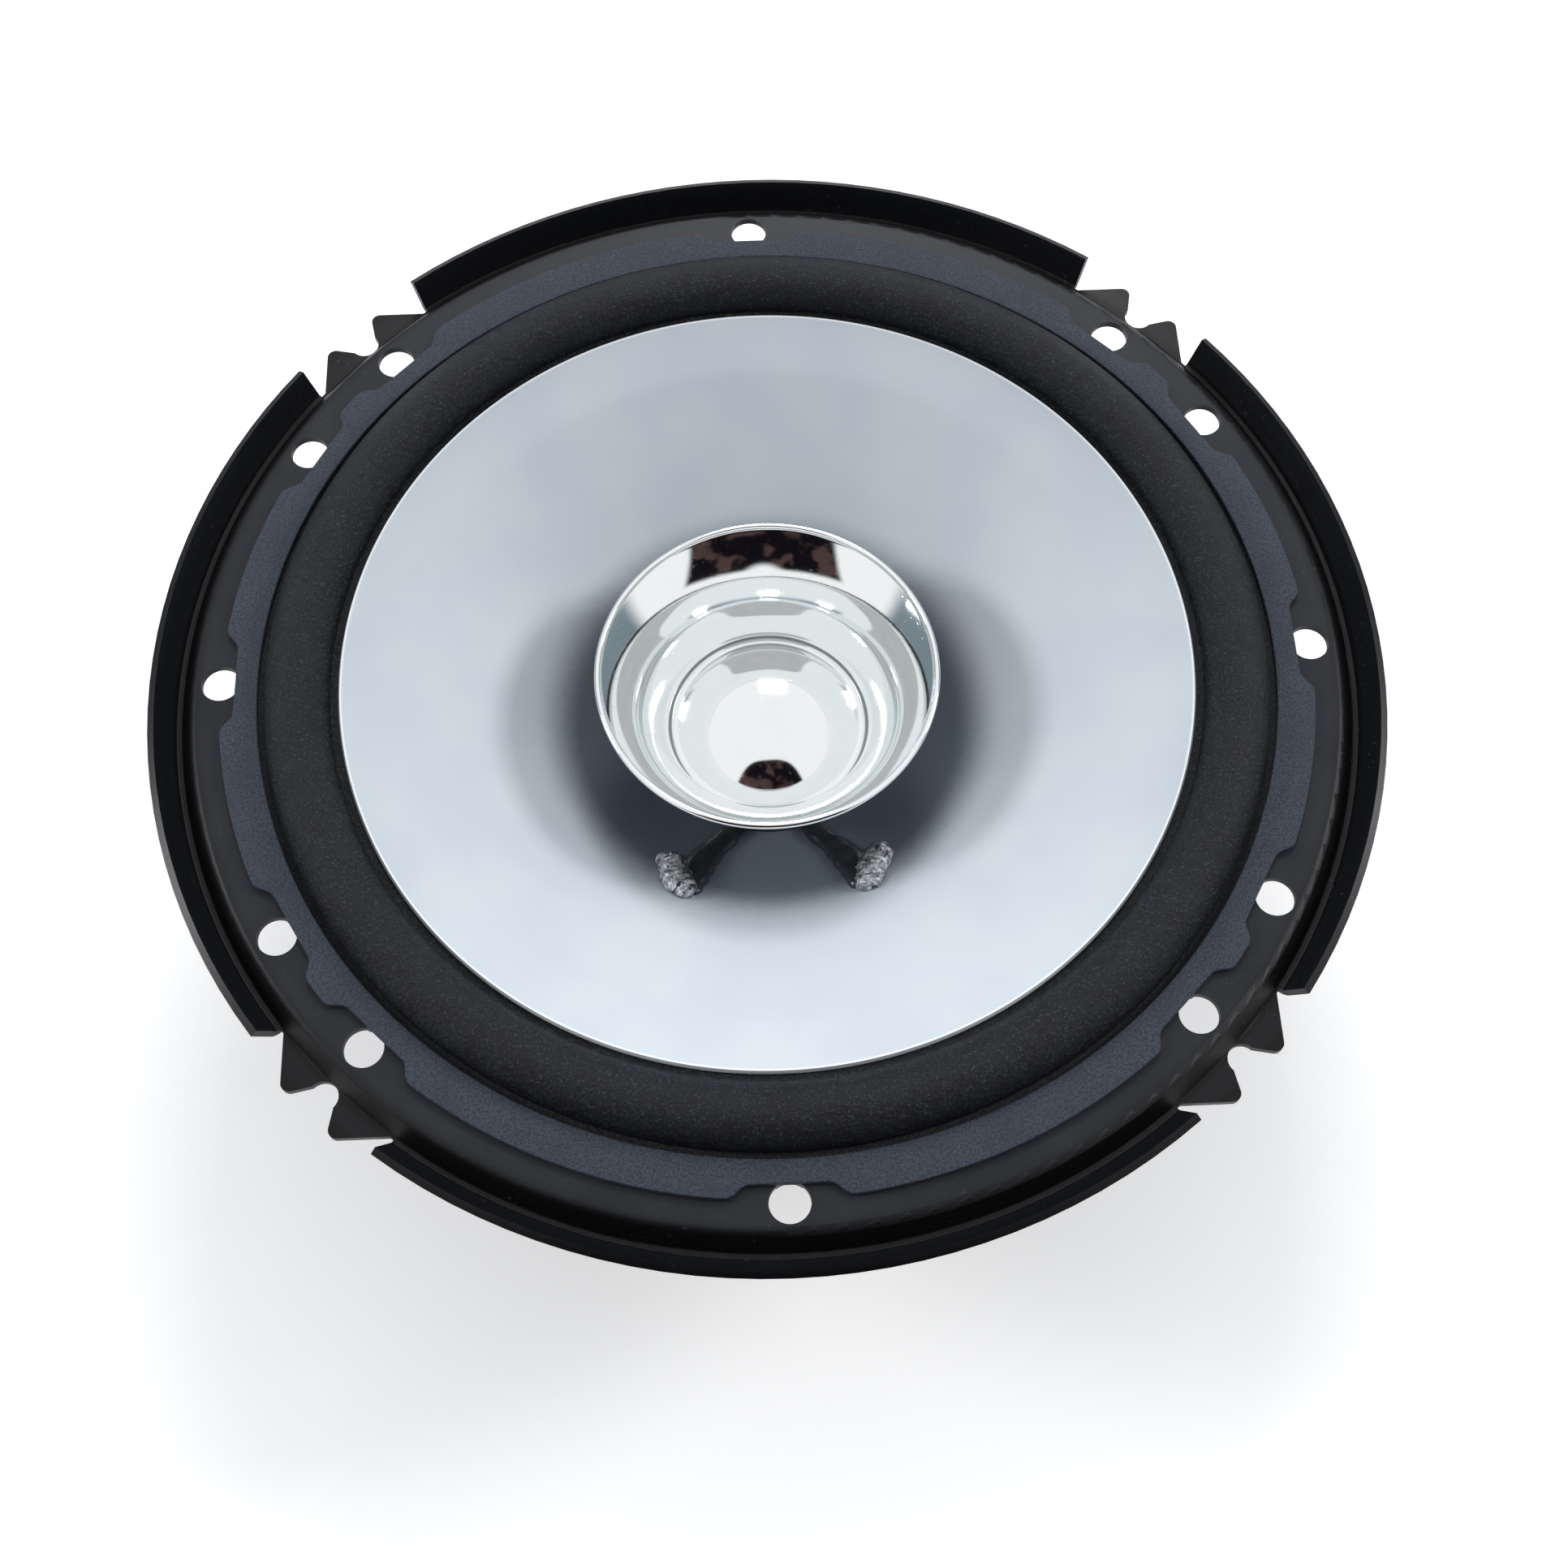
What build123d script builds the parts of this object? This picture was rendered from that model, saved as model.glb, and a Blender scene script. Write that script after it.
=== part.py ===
"""A 16 cm dual-cone car loudspeaker: pressed steel basket, foam surround and whizzer cone.

The origin is the centre of the screw circle on the top face of the flange plate.
+Z is the way the speaker fires, and -Y is the side that carries the terminals.
All sizes are in millimetres.
"""

import os
from math import cos, radians, sin, sqrt

from build123d import *

os.makedirs("parts", exist_ok=True)

# Overall
lip_radius = 80.0
floor_depth = 28.5               # of the basket's floor below the flange plate
magnet_height = 8.0

# Flange of the basket
sheet = 1.0                      # pressed steel
lip_rise = 1.4
lip_lean = 2.3                   # from the groove's outer corner out to the lip's edge
lip_root_inset = 0.3             # from the groove's outer corner to the foot of the lip's mid-line
lip_edge_rise = 0.2              # the square-cut edge stands this much above its mid-line
groove_depth = 2.5
groove_width = 1.6
groove_side = 1.9                # width of the slope from plate to groove
plate_rim = 3.2                  # flat plate outside the screw circle
screw_hole = 2.5                 # radius
screw_angles = (0, 30, 45, 90, 135, 150, 180, 210, 225, 270, 315, 330)
mouth_inset = 5.6                # from the screw circle in to the bowl's mouth
foot_recess_depth = 0.5
foot_recess_width = 2.8
foot_recess_lean = 0.1

# Teeth that stand in the four gaps of the lip
gap_half_angle = 7.6
gap_inset = 0.6                  # the lip is cut away outside this width of the groove
tooth_inset = 0.1
tooth_corner = 5.56              # of the square that the teeth come from, outside the lip
side_notch = 1.1                 # radius
centre_notch = 1.9               # radius
centre_notch_outset = 0.5        # of its centre from the groove's outer edge
tooth_tip_half_angle = 2.9
tooth_tip_round = 1.1

# Bowl of the basket
wall_inset = 2.4                 # from the mouth in to the top of the wall
wall_top_depth = 8.0
wall_foot_radius = 39.0
wall_foot_depth = 23.0
ledge_depth = 24.8
ledge_width = 6.0
ledge_inset = 2.0                # from the wall's foot in to the ledge
floor_inset = 1.4
floor_hole_clearance = 3.35      # around the winding
window_side = 4.0                # wall above each window
window_foot = 3.0                # and below it
window_half_angle = 29.0
window_corner = 3.5

# Magnet system
plate_thickness = 4.0
plate_radius = 33.0
magnet_radius = 35.0
magnet_clearance = 2.85          # around the winding
magnet_chamfer = 0.8
back_radius = 33.0
back_thickness = 4.0
plate_chamfer = 0.4
back_chamfer = 0.5
pole_radius = 12.3
pole_step = 3.3                  # of its spigot in the back plate
pole_vent = 4.0
pole_rise = 0.2                  # the pole stands above the top plate
pole_chamfer = 0.6
stake_circle = 23.0
stake_radius = 1.6
stake_head = 2.6
stake_head_height = 0.8
stake_count = 4

# Voice coil
former_gap = 0.3                 # air between pole and former
former_wall = 0.15
former_rise = 3.7                # it stands this far above the cone's neck
winding_thickness = 0.4
winding_height = 6.8
winding_lift = 0.3               # its middle stands above the gap's middle
winding_margin = 0.3             # bare former below the winding
plate_gap = 0.45                 # air between winding and top plate
collar_thickness = 0.15
collar_margin = 0.2              # bare former between winding and collar
collar_rise = 0.15               # the collar stands above the spider
bond = 0.1                       # glue line between moving pieces

# Cone
cone_gap = 1.1                   # from the cone's edge out to the roll
cone_edge_height = 1.0
cone_shoulder = 7.05             # width outside the crease
cone_crease_depth = 2.4
cone_neck_depth = 23.0
cone_paper = 0.6
crease_round = 6.0
neck_turn = 0.8                  # the paper turns down this far outside the neck's bore
neck_drop = 0.3
neck_inset = 0.2
neck_round = 0.6

# Whizzer cone and dust cap
whizzer_rim = 22.3               # middle of the wall, as are its heights
whizzer_rim_depth = 2.2
whizzer_neck = 5.2               # from the cone's neck up to the whizzer's shoulder
whizzer_wall = 0.35
whizzer_bow = 1.7
whizzer_bead = 0.45
whizzer_lift = 0.3               # its neck ends this far above the cone
shoulder_width = 0.5             # ring that carries the dust cap
cap_inset = 0.35                 # from the whizzer's wall in to the cap's flange
cap_flange_width = 0.95
cap_height = 4.2
cap_wall = 0.3
seat_air = 0.02                  # left between faces that are glued
glue_reach = 1.1                 # of the glue at the whizzer's neck, out along the cone
glue_rise = 1.87

# Surround
roll_radius = 4.2
roll_clearance = 0.3             # from the roll out to the bowl's mouth
roll_base = 0.35
foam = 0.5
foot_clearance = 0.2             # from the foot to the end of its recess
inner_lip_width = 2.2
lip_clearance = 0.1              # from the cone's edge out to the bend of the lip

# Gasket
gasket_inset = 0.6               # from the bowl's mouth out to the gasket
gasket_edge = 0.1                # from the screw circle in to its outer edge
gasket_thickness = 0.8
gasket_notch = 2.05              # from the screw circle in to a notch's floor
gasket_notch_half = 5.35
gasket_notch_round = 0.5

# Spider
spider_clearance = 0.8           # from the ledge's outer edge
spider_cloth = 0.4
spider_collar = 2.9              # flat cloth around the former
spider_landing = 2.4             # flat cloth inside the ledge
wave_count = 4
wave_height = 0.85
spider_seat = 0.05               # glue between the ledge and the cloth

# Lead-outs
eyelet_circle = 26.8
eyelet_angle = 29.2              # from the -Y axis
eyelet_bore = 0.8
eyelet_shank = 1.2
eyelet_flange = 2.0
eyelet_back_flange = 1.7
eyelet_sheet = 0.25
eyelet_lift = 0.05               # air under each flange
solder_length = 8.2
solder_width = 3.8
solder_height = 1.6
solder_turn = 47.0               # of its long axis from the radius, towards the -Y axis
track_radius = 1.0
lead_radius = 0.6

# Terminals
board_length = 28.0
board_width = 13.0
board_thickness = 1.5
board_margin = 1.0               # flat wall around the board
port_length = 15.0
port_width = 6.0
rivet_spacing = 21.0
rivet_radius = 1.2
rivet_head = 2.1
rivet_head_height = 0.7
inner_head = 1.7
seat_bulge = 0.75                # the round wall stands this far inside the flat seat at the rivets
tab_spacing = 10.0
tab_thickness = 0.8
tab_reach = 13.0                 # from the lug to the tab's free end
tab_root = 5.0                   # and to its other end
tab_chamfer = 0.3
positive_tab_width = 4.8
negative_tab_width = 2.8
lug_width = 2.4
lug_rise = 4.6                   # how far a lug stands into the basket
slot_clearance = 0.2             # of a lug in the board
lead_gap = 0.45                  # solder between a lug's end and its lead
lead_slack = 3.2                 # straight end of a lead behind its eyelet

# Radii that follow, from the lip in
beyond = lip_radius + 15         # past the lip, for shapes that cut
groove_outer = lip_radius - lip_lean
groove_inner = groove_outer - groove_width
plate_edge = groove_inner - groove_side
screw_circle = plate_edge - plate_rim
mouth_radius = screw_circle - mouth_inset
foot_recess_radius = mouth_radius + foot_recess_width
tooth_flat = (lip_radius + tooth_corner) * cos(radians(45))
wall_top_radius = mouth_radius - wall_inset
window_outer = wall_top_radius - window_side
window_inner = wall_foot_radius + window_foot
ledge_outer = wall_foot_radius - ledge_inset
ledge_inner = ledge_outer - ledge_width
floor_outer = ledge_inner - floor_inset
roll_centre = mouth_radius - roll_radius - roll_clearance
cone_edge = roll_centre - roll_radius - cone_gap
cone_crease = cone_edge - cone_shoulder
board_centre = (wall_top_radius + wall_foot_radius) / 2

# Radii that follow, from the pole out
former_inner = pole_radius + former_gap
former_outer = former_inner + former_wall
winding_outer = former_outer + winding_thickness
top_plate_bore = winding_outer + plate_gap
floor_hole = winding_outer + floor_hole_clearance
magnet_bore = winding_outer + magnet_clearance
neck_bore = former_outer + bond
neck_outer = neck_bore + whizzer_wall
whizzer_foot = neck_outer + shoulder_width
cap_flange = whizzer_foot - cap_inset
cap_radius = cap_flange - cap_flange_width
collar_outer = former_outer + collar_thickness
wave_inner = collar_outer + spider_collar
wave_pitch = (ledge_inner - spider_landing - wave_inner) / wave_count

# Heights that follow
plate_top = -floor_depth - sheet
plate_bottom = plate_top - plate_thickness
magnet_bottom = plate_bottom - magnet_height
back_bottom = magnet_bottom - back_thickness
winding_bottom = (plate_top + plate_bottom - winding_height) / 2 + winding_lift
former_bottom = winding_margin - winding_bottom
former_top = cone_neck_depth - former_rise
whizzer_foot_depth = cone_neck_depth - whizzer_neck
spider_middle = -ledge_depth + spider_cloth / 2 + spider_seat

# Slopes and offsets that follow
half_sheet = sheet / 2
wall_slope = (wall_foot_depth - wall_top_depth) / (wall_top_radius - wall_foot_radius)
wall_offset = half_sheet * sqrt(1 + wall_slope**2)
cone_slope = (cone_neck_depth - cone_crease_depth) / (cone_crease - neck_bore)
cone_edge_slope = (cone_edge_height + cone_crease_depth) / (cone_edge - cone_crease)
paper_offset = cone_paper / 2 * sqrt(1 + cone_slope**2)
eyelet_back = cone_paper + eyelet_sheet + 2 * eyelet_lift


def polar(radius, angle):
    """A point of the XY plane."""
    return (radius * cos(radians(angle)), radius * sin(radians(angle)))


def cone_depth(radius):
    """Depth of the cone's front face inside its crease."""
    return cone_crease_depth + (cone_crease - radius) * cone_slope


def box_ring(inner, outer, bottom, top):
    """The section of a plain ring, for the XZ plane."""
    Polyline((inner, bottom), (outer, bottom), (outer, top), (inner, top), close=True)


def on_cone(side):
    """The plane on the cone's front face at one eyelet, its X axis along the circle."""
    angle = -90 + side * eyelet_angle
    x, y = polar(eyelet_circle, angle)
    tilt = 1 / sqrt(1 + cone_slope**2)
    inward = (-cone_slope * tilt * cos(radians(angle)), -cone_slope * tilt * sin(radians(angle)))
    along = (-sin(radians(angle)), cos(radians(angle)), 0)
    origin = (x, y, -cone_depth(eyelet_circle))
    return Plane(origin=origin, x_dir=along, z_dir=(inward[0], inward[1], tilt))


# Basket: one pressing, with its lip cut away at four places
with BuildPart() as basket:
    with BuildSketch(Plane.XZ):
        with BuildLine():
            FilletPolyline(
                (lip_radius - half_sheet, lip_rise - lip_edge_rise),
                (groove_outer - lip_root_inset, -groove_depth - half_sheet),
                (groove_inner, -groove_depth - half_sheet),
                (plate_edge, -half_sheet),
                (foot_recess_radius + half_sheet, -half_sheet),
                (foot_recess_radius + half_sheet - foot_recess_lean, -foot_recess_depth - half_sheet),
                (mouth_radius + half_sheet, -foot_recess_depth - half_sheet),
                (wall_top_radius, -wall_top_depth - wall_offset),
                (wall_foot_radius, -wall_foot_depth - wall_offset),
                (ledge_outer, -ledge_depth - half_sheet),
                (ledge_inner, -ledge_depth - half_sheet),
                (floor_outer, -floor_depth - half_sheet),
                (floor_hole, -floor_depth - half_sheet),
                radius=(0.8, 0.8, 0.8, 0, 0, 1.2, 2.0, 1.2, 0.6, 0.6, 0.8),
            )
        trace(line_width=sheet)
    revolve(axis=Axis.Z)

    # gaps in the lip
    with BuildSketch(Plane.XY.offset(-groove_depth - 2 * sheet)):
        with PolarLocations(0, 4):
            Polygon(
                (0, 0),
                polar(beyond, 45 - gap_half_angle),
                polar(beyond, 45 + gap_half_angle),
                align=None,
            )
        Circle(groove_inner + gap_inset, mode=Mode.SUBTRACT)
    extrude(amount=groove_depth + lip_rise + 3 * sheet, mode=Mode.SUBTRACT)

    # teeth, level with the floor of the groove
    side_place = tooth_flat + side_notch
    lip_end = radians(45 - gap_half_angle)
    side_height = (side_notch + sin(lip_end) * side_place) / cos(lip_end)
    with BuildSketch(Plane.XY.offset(-groove_depth - sheet)):
        with PolarLocations(0, 4):
            Polygon(
                (tooth_flat, side_height - 2),
                (tooth_flat, tooth_flat),
                (side_height - 2, tooth_flat),
                align=None,
            )
        Circle(groove_inner + tooth_inset, mode=Mode.SUBTRACT)
    extrude(amount=sheet)

    # notches between and beside the teeth
    notch_place = groove_outer + centre_notch_outset
    tip_radius = tooth_flat / cos(radians(45 - tooth_tip_half_angle))
    tip_half_width = tip_radius * sin(radians(tooth_tip_half_angle))
    notch_reach = 3 * (tip_radius - notch_place)
    notch_spread = 3 * tip_half_width - 2 * centre_notch
    with BuildSketch(Plane.XY.offset(-groove_depth - 2 * sheet)):
        with PolarLocations(notch_place, 4, start_angle=45):
            Circle(centre_notch)
            Polygon(
                (0, -centre_notch),
                (notch_reach, -notch_spread),
                (notch_reach, notch_spread),
                (0, centre_notch),
                align=None,
            )
        with PolarLocations(0, 4):
            with Locations((side_place, side_height), (side_height, side_place)):
                Circle(side_notch)
            along_lip = polar(beyond, 45 - gap_half_angle)
            touch = (side_place + side_notch * sin(lip_end), side_height - side_notch * cos(lip_end))
            outside = (tooth_flat, beyond)
            Polygon((tooth_flat, side_height), touch, along_lip, outside, align=None)
            Polygon((side_height, tooth_flat), touch[::-1], along_lip[::-1], outside[::-1], align=None)
    extrude(amount=groove_depth + 3 * sheet, mode=Mode.SUBTRACT)
    upright = basket.edges().filter_by(Axis.Z).filter_by(lambda edge: edge.length < sheet * 1.01)
    tip_line = (lip_radius - sheet) ** 2
    tooth_tips = upright.filter_by(lambda edge: edge.center().X ** 2 + edge.center().Y ** 2 > tip_line)
    fillet(tooth_tips, tooth_tip_round)

    # screw holes
    with BuildSketch(Plane.XY.offset(-2 * sheet)):
        with Locations(*[polar(screw_circle, angle) for angle in screw_angles]):
            Circle(screw_hole)
    extrude(amount=3 * sheet, mode=Mode.SUBTRACT)

    # windows between four spokes
    with BuildSketch(Plane.XY.offset(-ledge_depth - 3 * sheet)) as windows:
        with PolarLocations(0, 4):
            Polygon(
                (0, 0),
                polar(beyond, 45 - window_half_angle),
                polar(beyond, 45 + window_half_angle),
                align=None,
            )
        Circle(window_outer, mode=Mode.INTERSECT)
        Circle(window_inner, mode=Mode.SUBTRACT)
        fillet(windows.vertices(), window_corner)
    extrude(amount=ledge_depth, mode=Mode.SUBTRACT)

    # flat seat for the terminal board, with a port for the lugs and holes for the rivets
    seat_depth = wall_top_depth + (wall_top_radius - board_centre) * wall_slope
    seat_depth += sheet * sqrt(1 + wall_slope**2)
    seat_tilt = 1 / sqrt(1 + wall_slope**2)
    seat = Plane(
        origin=(0, -board_centre, -seat_depth),
        x_dir=(1, 0, 0),
        z_dir=(0, -wall_slope * seat_tilt, -seat_tilt),
    )
    with BuildSketch(seat):
        Rectangle(board_length + 2 * board_margin, board_width + 2 * board_margin)
    extrude(amount=-sheet)
    with BuildSketch(seat.offset(sheet)):
        RectangleRounded(port_length, port_width, 1)
        with GridLocations(rivet_spacing, 1, 2, 1):
            Circle(rivet_radius)
    extrude(amount=-6 * sheet, mode=Mode.SUBTRACT)

    # holes for the stakes that hold the top plate
    with BuildSketch(Plane.XY.offset(plate_top)):
        with PolarLocations(stake_circle, stake_count, start_angle=45):
            Circle(stake_radius)
    extrude(amount=2 * sheet, mode=Mode.SUBTRACT)

basket.part.label = "basket"
export_step(basket.part, "parts/basket.step")


# Gasket: a soft ring, stepped in around every screw hole
with BuildPart() as gasket:
    with BuildSketch():
        gasket_outer = screw_circle - gasket_edge
        notch_floor = screw_circle - gasket_notch
        notch_side = gasket_notch_half + gasket_notch
        Circle(gasket_outer)
        Circle(mouth_radius + gasket_inset, mode=Mode.SUBTRACT)
        for angle in screw_angles:
            with PolarLocations(0, 1, start_angle=angle):
                Polygon(
                    (notch_floor, -gasket_notch_half),
                    (screw_circle, -notch_side),
                    (screw_circle, notch_side),
                    (notch_floor, gasket_notch_half),
                    align=None,
                    mode=Mode.SUBTRACT,
                )
    extrude(amount=gasket_thickness)
    corners = gasket.edges().filter_by(Axis.Z)
    fillet(corners, gasket_notch_round)
gasket.part.label = "gasket"
export_step(gasket.part, "parts/gasket.step")


# Magnet system, from the top plate back
with BuildPart() as top_plate:
    with BuildSketch(Plane.XZ):
        with BuildLine():
            box_ring(top_plate_bore, plate_radius, plate_bottom, plate_top)
        make_face()
    revolve(axis=Axis.Z)
    with BuildSketch(Plane.XY.offset(plate_bottom)):
        with PolarLocations(stake_circle, stake_count, start_angle=45):
            Circle(stake_radius)
    extrude(amount=plate_thickness, mode=Mode.SUBTRACT)
    chamfer(top_plate.faces().sort_by(Axis.Z)[-1].outer_wire().edges(), plate_chamfer)
top_plate.part.label = "top_plate"
export_step(top_plate.part, "parts/top_plate.step")

with BuildPart() as magnet:
    with BuildSketch(Plane.XY.offset(magnet_bottom)):
        Circle(magnet_radius)
        Circle(magnet_bore, mode=Mode.SUBTRACT)
    extrude(amount=magnet_height)
    outer_edges = magnet.edges().filter_by(GeomType.CIRCLE).filter_by(lambda e: e.radius > magnet_bore + 1)
    chamfer(outer_edges, magnet_chamfer)
magnet.part.label = "magnet"
export_step(magnet.part, "parts/magnet.step")

with BuildPart() as back_plate:
    with BuildSketch(Plane.XY.offset(back_bottom)):
        Circle(back_radius)
        Circle(pole_radius - pole_step, mode=Mode.SUBTRACT)
    extrude(amount=back_thickness)
    chamfer(back_plate.faces().sort_by(Axis.Z)[0].outer_wire().edges(), back_chamfer)
back_plate.part.label = "back_plate"
export_step(back_plate.part, "parts/back_plate.step")

with BuildPart() as pole_piece:
    with BuildSketch(Plane.XZ):
        with BuildLine():
            Polyline(
                (pole_vent, back_bottom),
                (pole_radius - pole_step, back_bottom),
                (pole_radius - pole_step, magnet_bottom),
                (pole_radius, magnet_bottom),
                (pole_radius, plate_top + pole_rise - pole_chamfer),
                (pole_radius - pole_chamfer, plate_top + pole_rise),
                (pole_vent, plate_top + pole_rise),
                close=True,
            )
        make_face()
    revolve(axis=Axis.Z)
pole_piece.part.label = "pole_piece"
export_step(pole_piece.part, "parts/pole_piece.step")

with BuildPart() as plate_stakes:
    with BuildSketch(Plane.XY.offset(plate_bottom)):
        with PolarLocations(stake_circle, stake_count, start_angle=45):
            Circle(stake_radius)
    extrude(amount=plate_thickness + sheet)
    with BuildSketch(Plane.XY.offset(-floor_depth)):
        with PolarLocations(stake_circle, stake_count, start_angle=45):
            Circle(stake_head)
    extrude(amount=stake_head_height, taper=20)
plate_stakes.part.label = "plate_stakes"
export_step(plate_stakes.part, "parts/plate_stakes.step")


# Voice coil
with BuildPart() as voice_coil_former:
    with BuildSketch(Plane.XY.offset(-former_bottom)):
        Circle(former_outer)
        Circle(former_inner, mode=Mode.SUBTRACT)
    extrude(amount=former_bottom - former_top)
voice_coil_former.part.label = "voice_coil_former"
export_step(voice_coil_former.part, "parts/voice_coil_former.step")

with BuildPart() as voice_coil:
    with BuildSketch(Plane.XZ):
        with BuildLine():
            box_ring(former_outer, winding_outer, winding_bottom, winding_bottom + winding_height)
        make_face()
    revolve(axis=Axis.Z)
voice_coil.part.label = "voice_coil"
export_step(voice_coil.part, "parts/voice_coil.step")

collar_bottom = winding_bottom + winding_height + collar_margin
collar_height = spider_middle + spider_cloth / 2 + collar_rise - collar_bottom
with BuildPart() as coil_collar:
    with BuildSketch(Plane.XY.offset(collar_bottom)):
        Circle(collar_outer)
        Circle(former_outer, mode=Mode.SUBTRACT)
    extrude(amount=collar_height)
coil_collar.part.label = "coil_collar"
export_step(coil_collar.part, "parts/coil_collar.step")


# Cone, with a bore at each eyelet
with BuildPart() as cone:
    with BuildSketch(Plane.XZ):
        with BuildLine():
            FilletPolyline(
                (cone_edge - paper_offset * cone_edge_slope / 2, cone_edge_height - paper_offset),
                (cone_crease, -cone_crease_depth - paper_offset),
                (neck_bore + neck_turn, -cone_depth(neck_bore + neck_turn) - paper_offset),
                (neck_bore - neck_inset, -cone_depth(neck_bore - neck_inset) - paper_offset - neck_drop),
                radius=(crease_round, neck_round),
            )
        trace(line_width=cone_paper)
    revolve(axis=Axis.Z)
    with BuildSketch(Plane.XY.offset(-former_bottom)):
        Circle(neck_bore)
    extrude(amount=former_bottom, mode=Mode.SUBTRACT)
    for side in (-1, 1):
        with BuildSketch(on_cone(side).offset(cone_paper)):
            Circle(eyelet_shank)
        extrude(amount=-3 * cone_paper, mode=Mode.SUBTRACT)
cone.part.label = "cone"
export_step(cone.part, "parts/cone.step")


# Whizzer cone: a neck glued over the former, a shoulder for the dust cap, and a flared wall
flare_width = whizzer_rim - whizzer_foot
flare_height = whizzer_foot_depth - whizzer_rim_depth
flare_length = sqrt(flare_width**2 + flare_height**2)
flare_middle = (
    (whizzer_foot + whizzer_rim) / 2 - whizzer_bow * flare_height / flare_length,
    -(whizzer_foot_depth + whizzer_rim_depth) / 2 + whizzer_bow * flare_width / flare_length,
)
neck_middle = neck_bore + whizzer_wall / 2
with BuildPart() as whizzer_cone:
    with BuildSketch(Plane.XZ):
        with BuildLine():
            Polyline(
                (neck_middle, -cone_depth(neck_outer) + whizzer_lift),
                (neck_middle, -whizzer_foot_depth),
                (whizzer_foot, -whizzer_foot_depth),
            )
            ThreePointArc(
                (whizzer_foot, -whizzer_foot_depth),
                flare_middle,
                (whizzer_rim, -whizzer_rim_depth),
            )
        trace(line_width=whizzer_wall)
        with Locations((whizzer_rim, -whizzer_rim_depth)):
            Circle(whizzer_bead)
    revolve(axis=Axis.Z)
whizzer_cone.part.label = "whizzer_cone"
export_step(whizzer_cone.part, "parts/whizzer_cone.step")

cap_base = -whizzer_foot_depth + whizzer_wall / 2 + seat_air
cap_sphere = (cap_radius**2 + cap_height**2) / (2 * cap_height)
cap_centre = cap_base + cap_height - cap_sphere


def on_sphere(sphere, radius):
    """A point of the cap's section: on this sphere about the cap's centre, at this radius from the axis."""
    return (radius, cap_centre + sqrt(sphere**2 - radius**2))


with BuildPart() as dust_cap:
    outer_sphere = cap_sphere + cap_wall
    outer_foot = sqrt(outer_sphere**2 - (cap_base + cap_wall - cap_centre) ** 2)
    with BuildSketch(Plane.XZ):
        with BuildLine():
            ThreePointArc(
                on_sphere(outer_sphere, 0),
                on_sphere(outer_sphere, outer_foot / 2),
                on_sphere(outer_sphere, outer_foot),
            )
            Polyline(
                on_sphere(outer_sphere, outer_foot),
                (cap_flange, cap_base + cap_wall),
                (cap_flange, cap_base),
                on_sphere(cap_sphere, cap_radius),
            )
            ThreePointArc(
                on_sphere(cap_sphere, cap_radius),
                on_sphere(cap_sphere, cap_radius / 2),
                on_sphere(cap_sphere, 0),
            )
            Line(on_sphere(cap_sphere, 0), on_sphere(outer_sphere, 0))
        make_face()
    revolve(axis=Axis.Z)
dust_cap.part.label = "dust_cap"
export_step(dust_cap.part, "parts/dust_cap.step")

# Glue where the whizzer's neck meets the cone
with BuildPart() as neck_glue:
    with BuildSketch(Plane.XZ):
        with BuildLine():
            Polyline(
                (neck_outer, -cone_depth(neck_outer) + seat_air),
                (neck_outer + glue_reach, -cone_depth(neck_outer + glue_reach) + seat_air),
                (neck_outer, -cone_depth(neck_outer) + seat_air + glue_rise),
                close=True,
            )
        make_face()
    revolve(axis=Axis.Z)
    add(cone.part, mode=Mode.SUBTRACT)
neck_glue.part.label = "neck_glue"
export_step(neck_glue.part, "parts/neck_glue.step")


# Surround: a half roll between the cone's edge and a foot in the basket
lip_middle = cone_edge_height - 2 * paper_offset - bond - foam / 2
lip_shoulder = cone_edge + lip_clearance
inner_lip_run = inner_lip_width + lip_clearance
roll_middle = roll_radius - foam / 2
with BuildPart() as surround:
    with BuildSketch(Plane.XZ):
        with BuildLine():
            Polyline(
                (cone_edge - inner_lip_width, lip_middle - inner_lip_run * cone_edge_slope),
                (lip_shoulder, lip_middle),
                (roll_centre - roll_middle, lip_middle),
                (roll_centre - roll_middle, roll_base),
            )
            ThreePointArc(
                (roll_centre - roll_middle, roll_base),
                (roll_centre, roll_base + roll_middle),
                (roll_centre + roll_middle, roll_base),
            )
            Polyline(
                (roll_centre + roll_middle, roll_base),
                (roll_centre + roll_middle, -foam / 2),
                (foot_recess_radius - foot_clearance, -foam / 2),
            )
        trace(line_width=foam)
    revolve(axis=Axis.Z)
surround.part.label = "surround"
export_step(surround.part, "parts/surround.step")


# Spider: corrugated cloth from the former's collar to the basket's ledge
with BuildPart() as spider:
    with BuildSketch(Plane.XZ):
        with BuildLine():
            Line((collar_outer + bond / 2, spider_middle), (wave_inner, spider_middle))
            for wave in range(2 * wave_count):
                start = wave_inner + wave * wave_pitch / 2
                peak = wave_height if wave % 2 == 0 else -wave_height
                ThreePointArc(
                    (start, spider_middle),
                    (start + wave_pitch / 4, spider_middle + peak),
                    (start + wave_pitch / 2, spider_middle),
                )
            wave_outer = wave_inner + wave_count * wave_pitch
            Line((wave_outer, spider_middle), (ledge_outer - spider_clearance, spider_middle))
        trace(line_width=spider_cloth)
    revolve(axis=Axis.Z)
spider.part.label = "spider"
export_step(spider.part, "parts/spider.step")


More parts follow.
